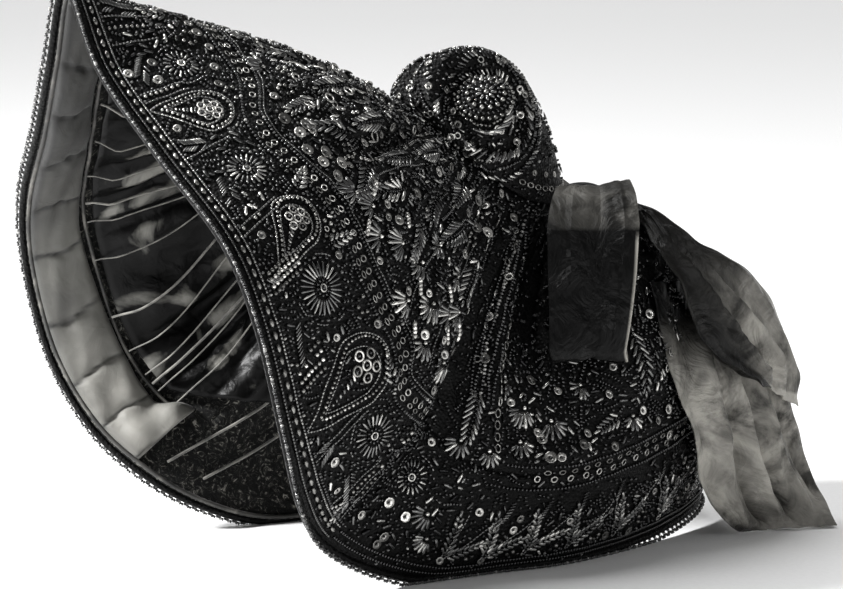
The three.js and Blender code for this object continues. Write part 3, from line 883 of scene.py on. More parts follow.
def along_skin(skin, kind, places, pitch, turn=0.0, wander=0.0, **more):
    """Beads along a smooth line through (u, v) places on the skin."""
    ends = np.asarray(places, float)
    ends = np.concatenate([[2 * ends[0] - ends[1]], ends, [2 * ends[-1] - ends[-2]]])
    uv = np.concatenate(
        [between(*ends[k : k + 4], np.linspace(0, 1, 40, endpoint=False)) for k in range(len(ends) - 3)]
        + [ends[-2:-1]]
    )
    points = skin.look(skin.points, uv[:, 0], uv[:, 1])
    gone = np.concatenate([[0], np.cumsum(np.linalg.norm(np.diff(points, axis=0), axis=1))])
    count = max(int(gone[-1] / pitch), 1)
    at = (np.arange(count) + 0.5) * gone[-1] / count
    u, v = np.interp(at, gone, uv[:, 0]), np.interp(at, gone, uv[:, 1])
    slope = np.gradient(points, axis=0)
    slope = np.stack([np.interp(at, gone, slope[:, k]) for k in range(3)], -1)
    across, down, _, _, _ = skin.axes(u, v)
    angle = np.arctan2((slope * down).sum(-1), (slope * across).sum(-1)) + turn
    if wander:
        sway = wander * np.sin(at * 0.9)
        u, v = skin.step(u, v, -np.sin(angle) * sway, np.cos(angle) * sway)
    sew(skin, kind, u, v, angle, **more)


# ---- The beads themselves: one small mesh of each kind, in mm, lying along X with +Z outwards --------
def turned(profile, sides, closed=False, wide=1.0, lie_along_x=False):
    """A shape turned about Z from (radius, height) pairs; a zero radius closes it at a pole."""
    points, rows = [], []
    for radius, height in profile:
        if radius == 0:
            rows.append([len(points)])
            points.append((0, 0, height))
            continue
        rows.append(list(range(len(points), len(points) + sides)))
        for k in range(sides):
            a = 2 * math.pi * k / sides
            points.append((radius * math.cos(a) * wide, radius * math.sin(a), height))
    faces = []
    pairs = list(zip(rows, rows[1:])) + ([(rows[-1], rows[0])] if closed else [])
    for low, high in pairs:
        for k in range(sides):
            n = (k + 1) % sides
            if len(low) == 1:
                faces.append((low[0], high[n], high[k]))
            elif len(high) == 1:
                faces.append((low[k], low[n], high[0]))
            else:
                faces.append((low[k], low[n], high[n], high[k]))
    if lie_along_x:
        points = [(z, y, -x) for x, y, z in points]
    return np.array(points), faces


SEED_PROFILE = [(0, -0.75), (0.95, -0.3), (0.95, 0.3), (0, 0.75)]
BUGLE_PROFILE = [(0, -2.6), (0.85, -1.5), (0.8, 1.5), (0, 2.6)]
PEARL_PROFILE = [(0, -1.3), (1.0, -0.85), (1.4, 0), (1.0, 0.85), (0, 1.3)]
SEQUIN_PROFILE = [(0.7, 0.1), (1.7, 0.35), (3.1, 0.85), (3.2, 0.65), (1.7, 0.05), (0.7, -0.1)]
RING_PROFILE = [(1.6, 0.5), (2.3, 0.85), (2.9, 0.35), (2.3, -0.5)]
LINK_PROFILE = [(1.2, 0.4), (1.65, 0.75), (2.15, 0.3), (1.65, -0.4)]
BEADS = {
    "seed": (turned(SEED_PROFILE, 5, lie_along_x=True), GLASS),
    "bugle": (turned(BUGLE_PROFILE, 5, lie_along_x=True), BUGLE),
    "pearl": (turned(PEARL_PROFILE, 7, lie_along_x=True), SEQUIN),
    "sequin": (turned(SEQUIN_PROFILE[::-1], 10, closed=True), SEQUIN),
    "ring": (turned(RING_PROFILE[::-1], 11, closed=True), SEQUIN),
    "link": (turned(LINK_PROFILE[::-1], 10, closed=True, wide=1.6), SEQUIN),
}
PARTS = ["crown", "brim", "nape", "knob", "button"]


def attribute(mesh, name, kind, values):
    layer = mesh.attributes.new(name, kind, "POINT")
    layer.data.foreach_set("vector" if kind == "FLOAT_VECTOR" else "value", np.ravel(values))


def setting_tree():
    """Sets one bead at every point, turned by the point's lie and out, sized by its size."""
    tree = bpy.data.node_groups.new("bead_setting", "GeometryNodeTree")
    face = tree.interface
    face.new_socket("Geometry", in_out="INPUT", socket_type="NodeSocketGeometry")
    face.new_socket("Bead", in_out="INPUT", socket_type="NodeSocketObject")
    face.new_socket("Finish", in_out="INPUT", socket_type="NodeSocketMaterial")
    face.new_socket("Geometry", in_out="OUTPUT", socket_type="NodeSocketGeometry")
    given = node(tree, "NodeGroupInput")
    lie = node(tree, "GeometryNodeInputNamedAttribute", {"Name": "lie"}, data_type="FLOAT_VECTOR")
    out = node(tree, "GeometryNodeInputNamedAttribute", {"Name": "out"}, data_type="FLOAT_VECTOR")
    size = node(tree, "GeometryNodeInputNamedAttribute", {"Name": "size"}, data_type="FLOAT_VECTOR")
    turn = node(
        tree,
        "FunctionNodeAxesToRotation",
        links={"Primary Axis": (out, "Attribute"), "Secondary Axis": (lie, "Attribute")},
        primary_axis="Z",
        secondary_axis="X",
    )
    bead = node(tree, "GeometryNodeObjectInfo", links={"Object": (given, "Bead")})
    placed = node(
        tree,
        "GeometryNodeInstanceOnPoints",
        links={
            "Points": (given, "Geometry"),
            "Instance": (bead, "Geometry"),
            "Rotation": (turn, "Rotation"),
            "Scale": (size, "Attribute"),
        },
    )
    real = node(tree, "GeometryNodeRealizeInstances", links={"Geometry": (placed, "Instances")})
    done_with = node(
        tree, "GeometryNodeSetMaterial", links={"Geometry": (real, "Geometry"), "Material": (given, "Finish")}
    )
    node(tree, "NodeGroupOutput", links={"Geometry": (done_with, "Geometry")})
    return tree


SETTING = setting_tree()


def bake(obj):
    """The object with its modifiers worked out, as a plain mesh object."""
    graph = bpy.context.evaluated_depsgraph_get()
    mesh = bpy.data.meshes.new_from_object(obj.evaluated_get(graph), depsgraph=graph)
    name = obj.name
    bpy.data.objects.remove(obj)
    baked = link(bpy.data.objects.new(name, mesh))
    mesh.name = name
    return baked


def bead_template(kind):
    (points, faces), finish = BEADS[kind]
    mesh = bpy.data.meshes.new(kind)
    mesh.from_pydata((points * MM).tolist(), [], faces)
    mesh.polygons.foreach_set("use_smooth", [True] * len(faces))
    return link(bpy.data.objects.new(kind + "_template", mesh))


def set_beads(name, kind, points, lie, out, size, tone):
    """One joined mesh of beads of one kind."""
    mesh = bpy.data.meshes.new(name)
    mesh.from_pydata(((points + SHIFT) * MM).tolist(), [], [])
    attribute(mesh, "lie", "FLOAT_VECTOR", lie)
    attribute(mesh, "out", "FLOAT_VECTOR", out)
    attribute(mesh, "size", "FLOAT_VECTOR", size)
    attribute(mesh, "tone", "FLOAT", tone)
    obj = link(bpy.data.objects.new(name, mesh))
    template = bead_template(kind)
    modifier = obj.modifiers.new("setting", "NODES")
    modifier.node_group = SETTING
    sockets = {item.name: item.identifier for item in SETTING.interface.items_tree if item.in_out == "INPUT"}
    modifier[sockets["Bead"]] = template
    modifier[sockets["Finish"]] = BEADS[kind][1]
    made = bake(obj)
    bpy.data.objects.remove(template)
    return made


FLIP = np.array([-1.0, 1.0, 1.0])


def set_tray(part, both_sides=True):
    """Makes every bead laid on one part, and its mirror image on the far side."""
    for kind in BEADS:
        if kind not in TRAYS.beads:
            continue
        points, lie, out, size, tone = TRAYS.of_kind(kind, PARTS.index(part))
        if not len(points):
            continue
        if both_sides:
            points, lie, out = (np.concatenate([k, k * FLIP]) for k in (points, lie, out))
            size, tone = np.concatenate([size, size]), np.concatenate([tone, tone])
        made = set_beads(f"{part}_{kind}_beads", kind, points, lie, out, size, tone)
        done(made, "glass_beads")


# ---- The embroidery of the shell: charted on the wearer's left half, spokes 0 to 14 -----------------
def part_of_shell(spoke, r):
    s = from_peak(spoke)
    return np.where(r < seam(spoke), 0, np.where(s < JAW, 1, 2))


SKIN = Skin(lambda u, v: shell(u, v), part_of_shell, (-0.1, HALF + 0.1), (0.0, SHELL_END), 570, 240)
# the shell's beads take painted shade deep in its folds
SKIN.fold_shade = painted_fold_shade


def at(u, v, turn=0.0, grow=1.0):
    return Motif(SKIN, u, v, turn, grow)


def sequins(places, size=1.0, kind="sequin", **more):
    u, v = np.array(places, float).T
    sew(SKIN, kind, u, v, dice.random(len(u)) * 6, size=size, tone=0.6 + 0.4 * dice.random(len(u)), **more)
    sew(SKIN, "seed", u, v, size=0.7, tone=0.5, lift=0.5, over=True)


def fine_cord(skin, places, tone=0.6, size=0.62):
    """A thin twisted cord couched along a line."""
    along_skin(skin, "bugle", places, 1.75, long=0.36, size=size, tone=tone, over=True)


def rim_border():
    """Two cords with long oval stones between, just inside the brim's edge."""
    for r, tone in ((0.964, 0.35), (0.931, 0.6)):
        fine_cord(SKIN, [(0, r), (3.5, r), (7, r)], tone, 0.75)
    along_skin(SKIN, "pearl", [(0, 0.947), (3.5, 0.947), (7, 0.947)], 5.6, long=1.7, size=0.8, tone=0.5)
    along_skin(SKIN, "seed", [(0, 0.956), (7, 0.956)], 1.8, size=0.7, tone=0.3)
    along_skin(SKIN, "seed", [(0, 0.938), (7, 0.938)], 1.8, size=0.7, tone=0.3)
    along_skin(SKIN, "seed", [(0, 0.922), (7, 0.922)], 2.0, size=0.9)


def brim_work():
    for u, v, size, petals in [
        (1.0, 0.755, 9.5, 18),
        (2.45, 0.80, 10.5, 20),
        (4.1, 0.775, 14.0, 26),
        (5.9, 0.775, 12.0, 22),
    ]:
        daisy(at(u, v), size, petals)
    paisley(at(1.68, 0.775, 0.1), 32, 20, -3, 8)
    paisley(at(3.2, 0.755, -0.25), 34, 21, 6, 7)
    paisley(at(5.0, 0.725, 0.0), 48, 27, 6, 6)
    for u, v, turn, long in [
        (4.25, 0.865, -1.2, 17), (6.2, 0.86, -1.3, 20), (2.45, 0.875, -1.2, 15), (0.9, 0.85, -1.2, 14),
        (5.55, 0.88, -0.4, 14), (0.3, 0.82, 0.0, 16), (2.05, 0.86, 0.3, 12), (3.75, 0.88, 0.2, 12),
    ]:
        herringbone(at(u, v, turn), long, 8, 5.0)
    for u, tone in ((3.52, 0.5), (3.6, 1.0), (3.68, 1.0), (3.76, 0.4)):
        along_skin(SKIN, "pearl", [(u, 0.81), (u + 0.05, 0.915)], 2.5, size=0.8, tone=tone, over=True)
    for u, tone in ((4.48, 0.4), (4.56, 0.9), (4.64, 1.0), (4.72, 0.5)):
        along_skin(SKIN, "pearl", [(u, 0.83), (u + 0.05, 0.915)], 2.5, size=0.8, tone=tone)
    for u in (0.35, 0.65, 1.25, 1.35, 2.05, 2.85, 2.95, 5.42, 5.5, 6.35, 6.55, 6.75):
        fine_cord(SKIN, [(u, 0.78), (u + 0.05, 0.85), (u + 0.1, 0.925)], 0.5)
    for u in (0.5, 1.3, 2.9, 6.45, 6.65):
        along_skin(SKIN, "pearl", [(u, 0.80), (u + 0.08, 0.92)], 2.6, size=0.7, tone=0.6)
    divider = [(0.05, 0.60), (1.15, 0.585), (2.05, 0.68), (3.2, 0.62), (4.3, 0.62), (5.15, 0.605),
        (5.7, 0.66), (6.6, 0.61)]
    along_skin(SKIN, "ring", divider, 6.0, size=0.62, tone=0.75)
    along_skin(SKIN, "link", [(u, v + 0.017) for u, v in divider], 6.0, size=0.62, tone=0.55)
    for shift in (-0.022, 0.034):
        along_skin(SKIN, "seed", [(u, v + shift) for u, v in divider], 1.9, size=0.9)
    fine_cord(SKIN, [(u, v - 0.034) for u, v in divider], 0.4)
    for u, v in [(0.6, 0.69), (1.5, 0.68), (2.6, 0.69), (3.55, 0.69), (4.5, 0.675), (6.35, 0.70), (6.5, 0.8)]:
        flower(at(u, v), 7, 3.6)
    for u, v, turn in [(0.25, 0.72, 0), (6.6, 0.88, -0.4), (5.5, 0.685, 2.0), (2.9, 0.71, 2.6),
            (3.75, 0.70, 3.3)]:
        leaf(at(u, v, turn), 12, 4, 5.5)
    sequins([(0.7, 0.64), (1.6, 0.64), (4.75, 0.655), (5.4, 0.655), (6.1, 0.67), (3.0, 0.67), (0.3, 0.66)],
        0.7)


def crown_front_work():
    for u, v in [(3.45, 0.47), (4.9, 0.48), (5.5, 0.40), (4.2, 0.41), (5.95, 0.47), (3.9, 0.56),
            (5.2, 0.56), (6.3, 0.42)]:
        along = np.linspace(-2.6, 2.6, 4)
        at(u, v, 0.5).sew("pearl", along, along * 0.4, 0.3, long=1.3, size=0.9, tone=1.0, over=True)
    sequins([(2.0, 0.60), (2.25, 0.585), (2.5, 0.60), (2.72, 0.575), (2.98, 0.565), (3.3, 0.57), (2.15, 0.55),
             (2.6, 0.55), (2.85, 0.53), (3.55, 0.58), (3.1, 0.60)], 0.95)
    sequins([(5.4, 0.10), (5.9, 0.085), (6.45, 0.10), (6.2, 0.15), (5.8, 0.16)], 0.95)
    for u, v, turn, blades, long in [
        (3.35, 0.535, 0.7, 7, 8), (3.7, 0.50, 0.6, 7, 8), (4.1, 0.53, 0.5, 6, 8), (4.35, 0.47, 0.4, 8, 8.5),
        (4.75, 0.43, 0.5, 7, 8.5), (4.85, 0.54, 0.3, 6, 7.5), (5.25, 0.47, 0.2, 8, 8.5),
        (5.75, 0.43, 0.4, 7, 8),
        (6.05, 0.39, 0.2, 7, 8), (6.15, 0.52, 0.1, 7, 8), (5.6, 0.33, 0.3, 6, 7), (4.9, 0.33, 0.5, 7, 7.5),
        (1.0, 0.52, 0.2, 6, 7), (0.3, 0.50, 0.0, 6, 7), (5.5, 0.55, -0.2, 6, 7),
    ]:
        fan(at(u, v, turn), blades, 2.0, long * 1.15)
    for u, v, turn, long in [
        (3.1, 0.43, -0.5, 18), (3.8, 0.35, 0.3, 22), (4.4, 0.36, -0.4, 16), (2.4, 0.42, 0.4, 18),
        (1.7, 0.44, -0.3, 17),
        (0.6, 0.38, 0.2, 17), (3.3, 0.25, 0.2, 18), (4.3, 0.22, -0.3, 18), (5.2, 0.22, 0.3, 18),
        (2.3, 0.27, 0.0, 17),
        (1.3, 0.30, -0.2, 17), (6.1, 0.26, 0.0, 18), (3.5, 0.10, 0.1, 16), (4.8, 0.09, 0.0, 16),
    ]:
        leaf(at(u, v, turn), long * 1.15, 7, 8.5)
    spots = [
        (0.5, 0.30), (0.9, 0.25), (1.3, 0.21), (0.3, 0.20), (1.6, 0.36), (1.9, 0.32), (0.7, 0.45),
        (1.3, 0.41),
        (2.1, 0.48), (2.6, 0.36), (2.9, 0.31), (3.5, 0.20), (4.0, 0.17), (4.6, 0.17), (3.2, 0.14),
        (2.6, 0.17),
        (3.4, 0.34), (4.1, 0.45), (4.7, 0.55), (5.4, 0.54), (5.9, 0.56), (6.4, 0.46), (6.3, 0.36),
        (5.1, 0.18),
        (2.4, 0.22), (1.7, 0.26), (2.0, 0.40), (1.1, 0.36), (0.2, 0.42), (3.0, 0.22), (4.5, 0.28),
        (5.6, 0.26),
    ]
    sequins(spots, 0.78)
    for u, v in [(1.1, 0.47), (2.2, 0.36), (3.6, 0.43), (5.0, 0.52), (4.4, 0.31), (5.7, 0.20), (1.9, 0.21),
            (0.8, 0.2),
                 (2.7, 0.46), (1.5, 0.52)]:
        flower(at(u, v), 7, 3.6)
    ovals = np.array([(0.4, 0.25), (0.7, 0.33), (1.0, 0.30), (1.2, 0.45), (1.5, 0.31), (1.7, 0.4),
        (1.8, 0.48),
                      (2.1, 0.3), (2.2, 0.53), (0.9, 0.4), (0.3, 0.36), (1.4, 0.26), (2.5, 0.3), (0.6, 0.14)])
    sew(SKIN, "link", ovals[:, 0], ovals[:, 1], dice.uniform(-0.8, 0.8, len(ovals)), size=1.2, tone=0.8,
        over=True)
    along_skin(SKIN, "link", [(0.1, 0.14), (1.5, 0.15), (3.0, 0.10), (4.6, 0.10)], 5.5, size=0.8, tone=0.7)
    along_skin(SKIN, "link", [(0.3, 0.33), (1.0, 0.35), (1.9, 0.40), (2.5, 0.48)], 5.5, size=0.8, tone=0.85)
    along_skin(SKIN, "pearl", [(2.9, 0.06), (3.1, 0.3), (2.7, 0.55)], 2.6, size=0.75, tone=0.6)
    along_skin(SKIN, "seed", [(4.9, 0.04), (4.7, 0.25), (4.0, 0.56)], 1.9, tone=0.5)
    for u in (3.6, 5.1, 5.9):
        fine_cord(SKIN, [(u, 0.2), (u - 0.3, 0.4), (u - 0.1, 0.58)], 0.4)


def ridge_work():
    """The fold behind the ear is worked most thickly: a column of beads with sequins down it."""
    for u, tone in ((7.7, 0.5), (7.83, 0.8), (7.96, 1.0), (8.1, 0.8), (8.24, 0.5)):
        along_skin(SKIN, "seed", [(u, 0.06), (u + 0.04, 0.3), (u, 0.5)], 1.9, size=1.0, tone=tone)
    for k in range(16):
        v = 0.08 + 0.027 * k
        kind = "pearl" if k % 3 else "ring"
        sew(SKIN, kind, 7.9 + 0.12 * (k % 3 - 1), v, k * 0.9, size=0.7, tone=0.45 + 0.5 * dice.random(),
            over=True)
    sequins([(7.98, 0.40), (7.9, 0.30), (8.05, 0.20), (7.95, 0.12)], 0.8, over=True)
    leaf(at(7.9, 0.475, 0.1), 24, 8, 9, 0.7)
    fan(at(7.7, 0.60, 0.2), 7, 2.2, 8)
    fan(at(8.35, 0.60, -0.3), 6, 1.8, 7)
    along_skin(SKIN, "link", [(8.5, 0.30), (8.45, 0.5), (8.6, 0.6)], 5.4, size=0.75, tone=0.6)


def body_work():
    for u, v, turn, blades, long in [
        (10.3, 0.395, -2.2, 7, 7.5),
        (10.8, 0.40, 2.4, 7, 7.5),
        (10.5, 0.46, 0.6, 6, 7),
        (9.25, 0.49, 0.4, 8, 9),
        (9.75, 0.52, -0.3, 7, 8.5),
        (9.1, 0.565, -0.2, 6, 7),
        (8.9, 0.43, 0.5, 6, 6.5),
        (12.0, 0.50, -0.4, 6, 7),
        (11.2, 0.56, 0.2, 6, 7),
    ]:
        fan(at(u, v, turn), blades, 2.1, long)
    leaf(at(11.5, 0.405, 0.1), 30, 8, 9, 0.8, tone=0.7)
    leaf(at(11.0, 0.55, 1.2), 14, 5, 6)
    leaf(at(12.5, 0.53, -0.6), 16, 6, 6)
    along_skin(SKIN, "seed", [(10.8, 0.40), (10.45, 0.47), (10.3, 0.55)], 1.8, tone=0.5)
    sequins([(9.4, 0.585), (9.65, 0.60), (9.9, 0.585), (9.55, 0.555), (9.25, 0.61)], 0.95)
    sequins([(10.4, 0.56), (11.9, 0.45), (12.2, 0.56), (10.0, 0.46), (10.9, 0.50)], 0.7)
    along_skin(SKIN, "ring", [(9.3, 0.645), (10.5, 0.65), (12.0, 0.655), (13.6, 0.66)], 8.5, size=0.65,
        tone=0.75)
    for v in (0.62, 0.675):
        along_skin(SKIN, "seed", [(8.6, v), (10.4, v), (12.4, v), (13.95, v)], 2.0, size=0.9, tone=0.5)
    along_skin(SKIN, "link", [(9.5, 0.632), (11.5, 0.632), (13.9, 0.632)], 7.0, size=0.6, tone=0.5)


def nape_work():
    along_skin(SKIN, "seed", [(7, 0.957), (10.5, 0.957), (13.95, 0.957)], 1.7, size=0.85, tone=0.3)
    along_skin(SKIN, "seed", [(7, 0.937), (10.5, 0.937), (13.95, 0.937)], 1.7, size=0.85, tone=0.55)
    daisy(at(7.3, 0.74), 9.5, 18)
    sequins([(7.55, 0.80), (7.7, 0.83), (7.3, 0.82)], 0.85)
    fan(at(7.95, 0.80, 0.2), 7, 2.2, 7.5)
    fan(at(8.35, 0.86, 0.0), 7, 2.0, 6.5)
    for k, u in enumerate(np.arange(8.9, 13.9, 0.62)):
        for side in (-1, 1):
            leaf(at(u, 0.90, math.pi + side * 0.55), 19, 7, 5.5, 0.7)
        sequins([(u, 0.915), (u + 0.31, 0.80)], 0.62)
        flower(at(u + 0.31, 0.885), 6, 3.2)
        herringbone(at(u + 0.31, 0.78, math.pi), 12, 6, 3.6)
        for side in (-1, 1):
            fine_cord(SKIN, [(u, 0.925), (u + side * 0.12, 0.85), (u + side * 0.29, 0.765)], 0.6)
    zigzag = [(10.0 + 0.15 * k, 0.74 if k % 2 else 0.78) for k in range(14)]
    along_skin(SKIN, "seed", zigzag, 1.8, size=0.85, tone=0.4)


DARK = [  # sparse places deep in folds: spoke from and to, r from and to
    (6.6, 7.6, 0.12, 0.62),
    (8.6, 14.1, 0.0, 0.36),
    (8.6, 12.2, 0.675, 0.745),
    (12.6, 14.1, 0.3, 0.62),
]


def sparse(u, v):
    dark = np.zeros(np.shape(u), bool)
    for a, b, c, d in DARK:
        dark |= (u > a) & (u < b) & (v > c) & (v < d)
    return dark


def scattered(skin, count):
    """Seeded places spread evenly by area."""
    area = np.linalg.norm(np.cross(skin.by_u, skin.by_v), axis=-1)[:-1, :-1].ravel()
    pick = dice.choice(len(area), count, p=area / area.sum())
    i, j = np.divmod(pick, len(skin.v) - 1)
    u = skin.u[i] + dice.random(count) * (skin.u[1] - skin.u[0])
    v = skin.v[j] + dice.random(count) * (skin.v[1] - skin.v[0])
    return u, v


def drift(u, v):
    """The direction in which the filling runs at a place: it swirls slowly over the cloth."""
    return 1.7 * np.sin(1.9 * u + 3 * v) + 1.3 * np.sin(11 * v - 0.8 * u) + 0.6 * np.sin(5.3 * u)


def fill_cords(skin, count, beads, thin_dark=0.1):
    """Short bent rows of seeds in whatever cloth is still bare."""
    for u, v in zip(*scattered(skin, count)):
        if sparse(u, v) and dice.random() > thin_dark:
            continue
        t = (np.arange(beads) - (beads - 1) / 2) * 1.75
        curl = dice.uniform(-0.12, 0.12)
        angle = drift(u, v)
        x, y = t, curl * t**2 * 0.5
        m = Motif(skin, u, v, angle)
        tone = dice.random() ** 2.2
        m.sew("seed", x, y, curl * t, size=0.82, tone=tone)


def fill_bugles(skin, count, size=0.8, thin_dark=0.15):
    for u, v in zip(*scattered(skin, count)):
        if sparse(u, v) and dice.random() > thin_dark:
            continue
        sew(skin, "bugle", u, v, drift(u, v) + dice.choice([-0.6, 0.6]), size=0.95, long=size)


def fill_singles(skin, count, thin_dark=0.15):
    for u, v in zip(*scattered(skin, count)):
        if sparse(u, v) and dice.random() > thin_dark:
            continue
        sew(skin, "seed", u, v, drift(u, v), size=dice.uniform(0.75, 1.0))


def scatter_sequins(skin, count, size=0.6):
    for u, v in zip(*scattered(skin, count)):
        if sparse(u, v) and dice.random() > 0.06:
            continue
        if sew(skin, "sequin", u, v, size=size * dice.uniform(0.85, 1.15), tone=0.4 + 0.6 * dice.random()):
            sew(skin, "seed", u, v, size=0.6, tone=0.4, lift=0.5, over=True)


rim_border()
brim_work()
crown_front_work()
ridge_work()
body_work()
nape_work()
scatter_sequins(SKIN, 330, 0.72)
fill_bugles(SKIN, 2600, 1.1)
fill_cords(SKIN, 2200, 7)
fill_bugles(SKIN, 3200, 0.7)
fill_cords(SKIN, 3500, 4)
fill_singles(SKIN, 9000)
for part in ("crown", "brim", "nape"):
    set_tray(part)


# ---- The knob: rolls of worked cloth round a button ---------------------------------------------------
BUTTON_SIDE = unit(np.cross([0.0, 0.0, 1.0], BUTTON_AXIS))
BUTTON_UP = np.cross(BUTTON_AXIS, BUTTON_SIDE)
ROLLS = [(17, 3.5, -5.0), (27, 7, 4.0), (36, 2.0, -2.2), (45, 2.0, -1.8)]  # mm from the axis, width, height
SEAT = 3.2


def from_button(points):
    """Distance from the button's axis, height along it, and angle round it."""
    off = points - BUTTON_AT
    height = (off * BUTTON_AXIS).sum(-1)
    side, up = (off * BUTTON_SIDE).sum(-1), (off * BUTTON_UP).sum(-1)
    return np.hypot(side, up), height, np.arctan2(up, side)


def knob_surface(spoke, s):
    base = foot(spoke)
    rise, reach = np.sin(s * np.pi / 2), np.cos(s * np.pi / 2) ** KNOB_FULL
    point = np.stack(
        [
            base[..., 0] * reach,
            FOOT_CENTRE[0] + KNOB_LEAN * rise + (base[..., 1] - FOOT_CENTRE[0]) * reach,
            base[..., 2] + 0.5 + (KNOB_TOP - base[..., 2]) * rise,
        ],
        -1,
    )
    distance, height, angle = from_button(point)
    lift = 0.0
    for at_mm, wide, high in ROLLS:
        swirl = 1.4 * np.sin(angle + 0.6) if at_mm > 20 else 0.0
        lift = lift + high * np.exp(-(((distance - at_mm - swirl) / wide) ** 2))
    point = point + BUTTON_AXIS * (lift * smoothstep(-30, -14, height) * smoothstep(0, 0.15, s))[..., None]
    distance, height, _ = from_button(point)
    pressed = np.minimum(height, -SEAT) - height
    return point + BUTTON_AXIS * (pressed * (1 - smoothstep(BUTTON_RADIUS, BUTTON_RADIUS + 2.5,
        distance)))[..., None]


def make_knob():
    columns, rows = 150, 52
    u, v = np.meshgrid(np.arange(columns) * ROUND / columns, np.arange(rows) / rows)
    points = knob_surface(u, v).reshape(-1, 3)
    ends = np.array([[0, FOOT_CENTRE[0], FOOT_CENTRE[1] - 8], knob_surface(np.array(0.0), np.array(0.9999))])
    first, last = len(points), len(points) + 1
    at_knob = lambda a, b: b * columns + a % columns
    faces = []
    for a in range(columns):
        faces.append((first, at_knob(a + 1, 0), at_knob(a, 0)))
        faces.append((last, at_knob(a, rows - 1), at_knob(a + 1, rows - 1)))
        for b in range(rows - 1):
            faces.append((at_knob(a, b), at_knob(a + 1, b), at_knob(a + 1, b + 1), at_knob(a, b + 1)))
    done(mesh_piece("knob_cloth", np.concatenate([points, ends]), faces, GROUND), "beaded_cloth", "knob")


KNOB_SKIN = Skin(knob_surface, lambda u, v: np.full(np.shape(u), 3), (0, ROUND), (0.02, 0.97), 360, 110)
if (KNOB_SKIN.out * (KNOB_SKIN.points - BUTTON_AT * [0, 1, 1] + [0, 0, 20])).sum(-1).mean() < 0:
    KNOB_SKIN.out = -KNOB_SKIN.out


def sew_near(skin, kind, points, along_way, **more):
    """Beads at the skin's places nearest to points, lying along directions in space."""
    grid = skin.points.reshape(-1, 3)
    nearest = np.array([np.argmin(((grid - p) ** 2).sum(-1)) for p in points])
    i, j = np.divmod(nearest, len(skin.v))
    u, v = skin.u[i], skin.v[j]
    across, down, _, _, _ = skin.axes(u, v)
    angle = np.arctan2((along_way * down).sum(-1), (along_way * across).sum(-1))
    sew(skin, kind, u, v, angle, **more)


def knob_ring(kind, radius, pitch, start=0.0, end=2 * math.pi, turn=0.0, swirl=0.0, height=0.0, **more):
    """A ring of beads about the button's axis, from one angle to another."""
    count = max(int(radius * (end - start) / pitch), 1)
    a = start + (np.arange(count) + 0.5) * (end - start) / count
    reach = radius + swirl * np.sin(a + 0.6)
    spoke = np.cos(a)[:, None] * BUTTON_SIDE + np.sin(a)[:, None] * BUTTON_UP
    tangent = np.cos(a)[:, None] * BUTTON_UP - np.sin(a)[:, None] * BUTTON_SIDE
    points = BUTTON_AT + BUTTON_AXIS * height + spoke * reach[:, None]
    sew_near(KNOB_SKIN, kind, points, tangent * math.cos(turn) + spoke * math.sin(turn), **more)


def knob_work():
    knob_ring("pearl", 14.6, 2.6, size=0.75, tone=0.45, height=-2)
    knob_ring("bugle", 18.5, 2.2, turn=1.1, size=0.85, long=0.8, height=-3)
    knob_ring("seed", 21.6, 1.8, size=0.9, height=-1)
    knob_ring("bugle", 25.0, 2.1, turn=0.9, size=0.9, long=0.95, height=0, swirl=1)
    knob_ring("seed", 28.4, 1.8, size=0.9, swirl=1)
    knob_ring("bugle", 31.6, 2.2, turn=-0.9, size=0.9, long=0.9, height=-6, swirl=1)
    knob_ring("pearl", 35.5, 2.7, size=0.8, height=-10, swirl=1, tone=0.35)
    knob_ring("seed", 38.5, 1.8, size=0.9, height=-14, swirl=1)
    knob_ring("bugle", 41.5, 2.3, turn=0.9, size=0.9, long=0.9, height=-18, swirl=1)
    for k in range(13):
        a = -1.9 + 0.17 * k
        knob_ring("bugle", 22.5, 60, a, a + 0.02, turn=0.55, size=1.15, long=1.9, tone=0.4 + 0.6 * (k % 2),
            over=True,
                  height=-2)
        knob_ring("bugle", 30.0, 60, a + 0.05, a + 0.07, turn=-0.75, size=1.1, long=1.7,
            tone=0.35 + 0.5 * (k % 2),
                  over=True, height=-5)
    for radius, count, start in [(23.5, 5, 0.4), (29.8, 7, 1.0), (36.5, 6, 2.0)]:
        step = 2 * math.pi / count
        for k in range(count):
            a = start + k * step + dice.uniform(-0.2, 0.2)
            knob_ring("ring" if k % 2 else "sequin", radius, 60, a, a + 0.05, size=0.62, tone=0.85, over=True)
    along_skin(KNOB_SKIN, "link", [(0.2, 0.07), (7, 0.07), (14, 0.07), (21, 0.07), (27.8, 0.07)], 5.2,
        size=0.7, tone=0.7)
    sew(KNOB_SKIN, "sequin", np.arange(0.3, 28, 0.9), np.full(31, 0.13), size=0.5, tone=0.75)
    scatter_sequins(KNOB_SKIN, 110, 0.62)
    fill_bugles(KNOB_SKIN, 800, 0.8)
    fill_cords(KNOB_SKIN, 500, 4)
    fill_singles(KNOB_SKIN, 4200)


def button_dome(angle, v):
    reach = BUTTON_RADIUS * v
    height = -SEAT + 0.5 + 6.5 * np.sqrt(np.maximum(1 - 0.92 * v**2, 0.0)) - 0.6 * np.exp(-((v / 0.2) ** 2))
    side = np.cos(angle)[..., None] * BUTTON_SIDE + np.sin(angle)[..., None] * BUTTON_UP
    return BUTTON_AT + BUTTON_AXIS * height[..., None] + side * reach[..., None]


BUTTON_SKIN = Skin(button_dome, lambda u, v: np.full(np.shape(u), 4), (0, 2 * math.pi), (0.02, 1.0), 120, 40)


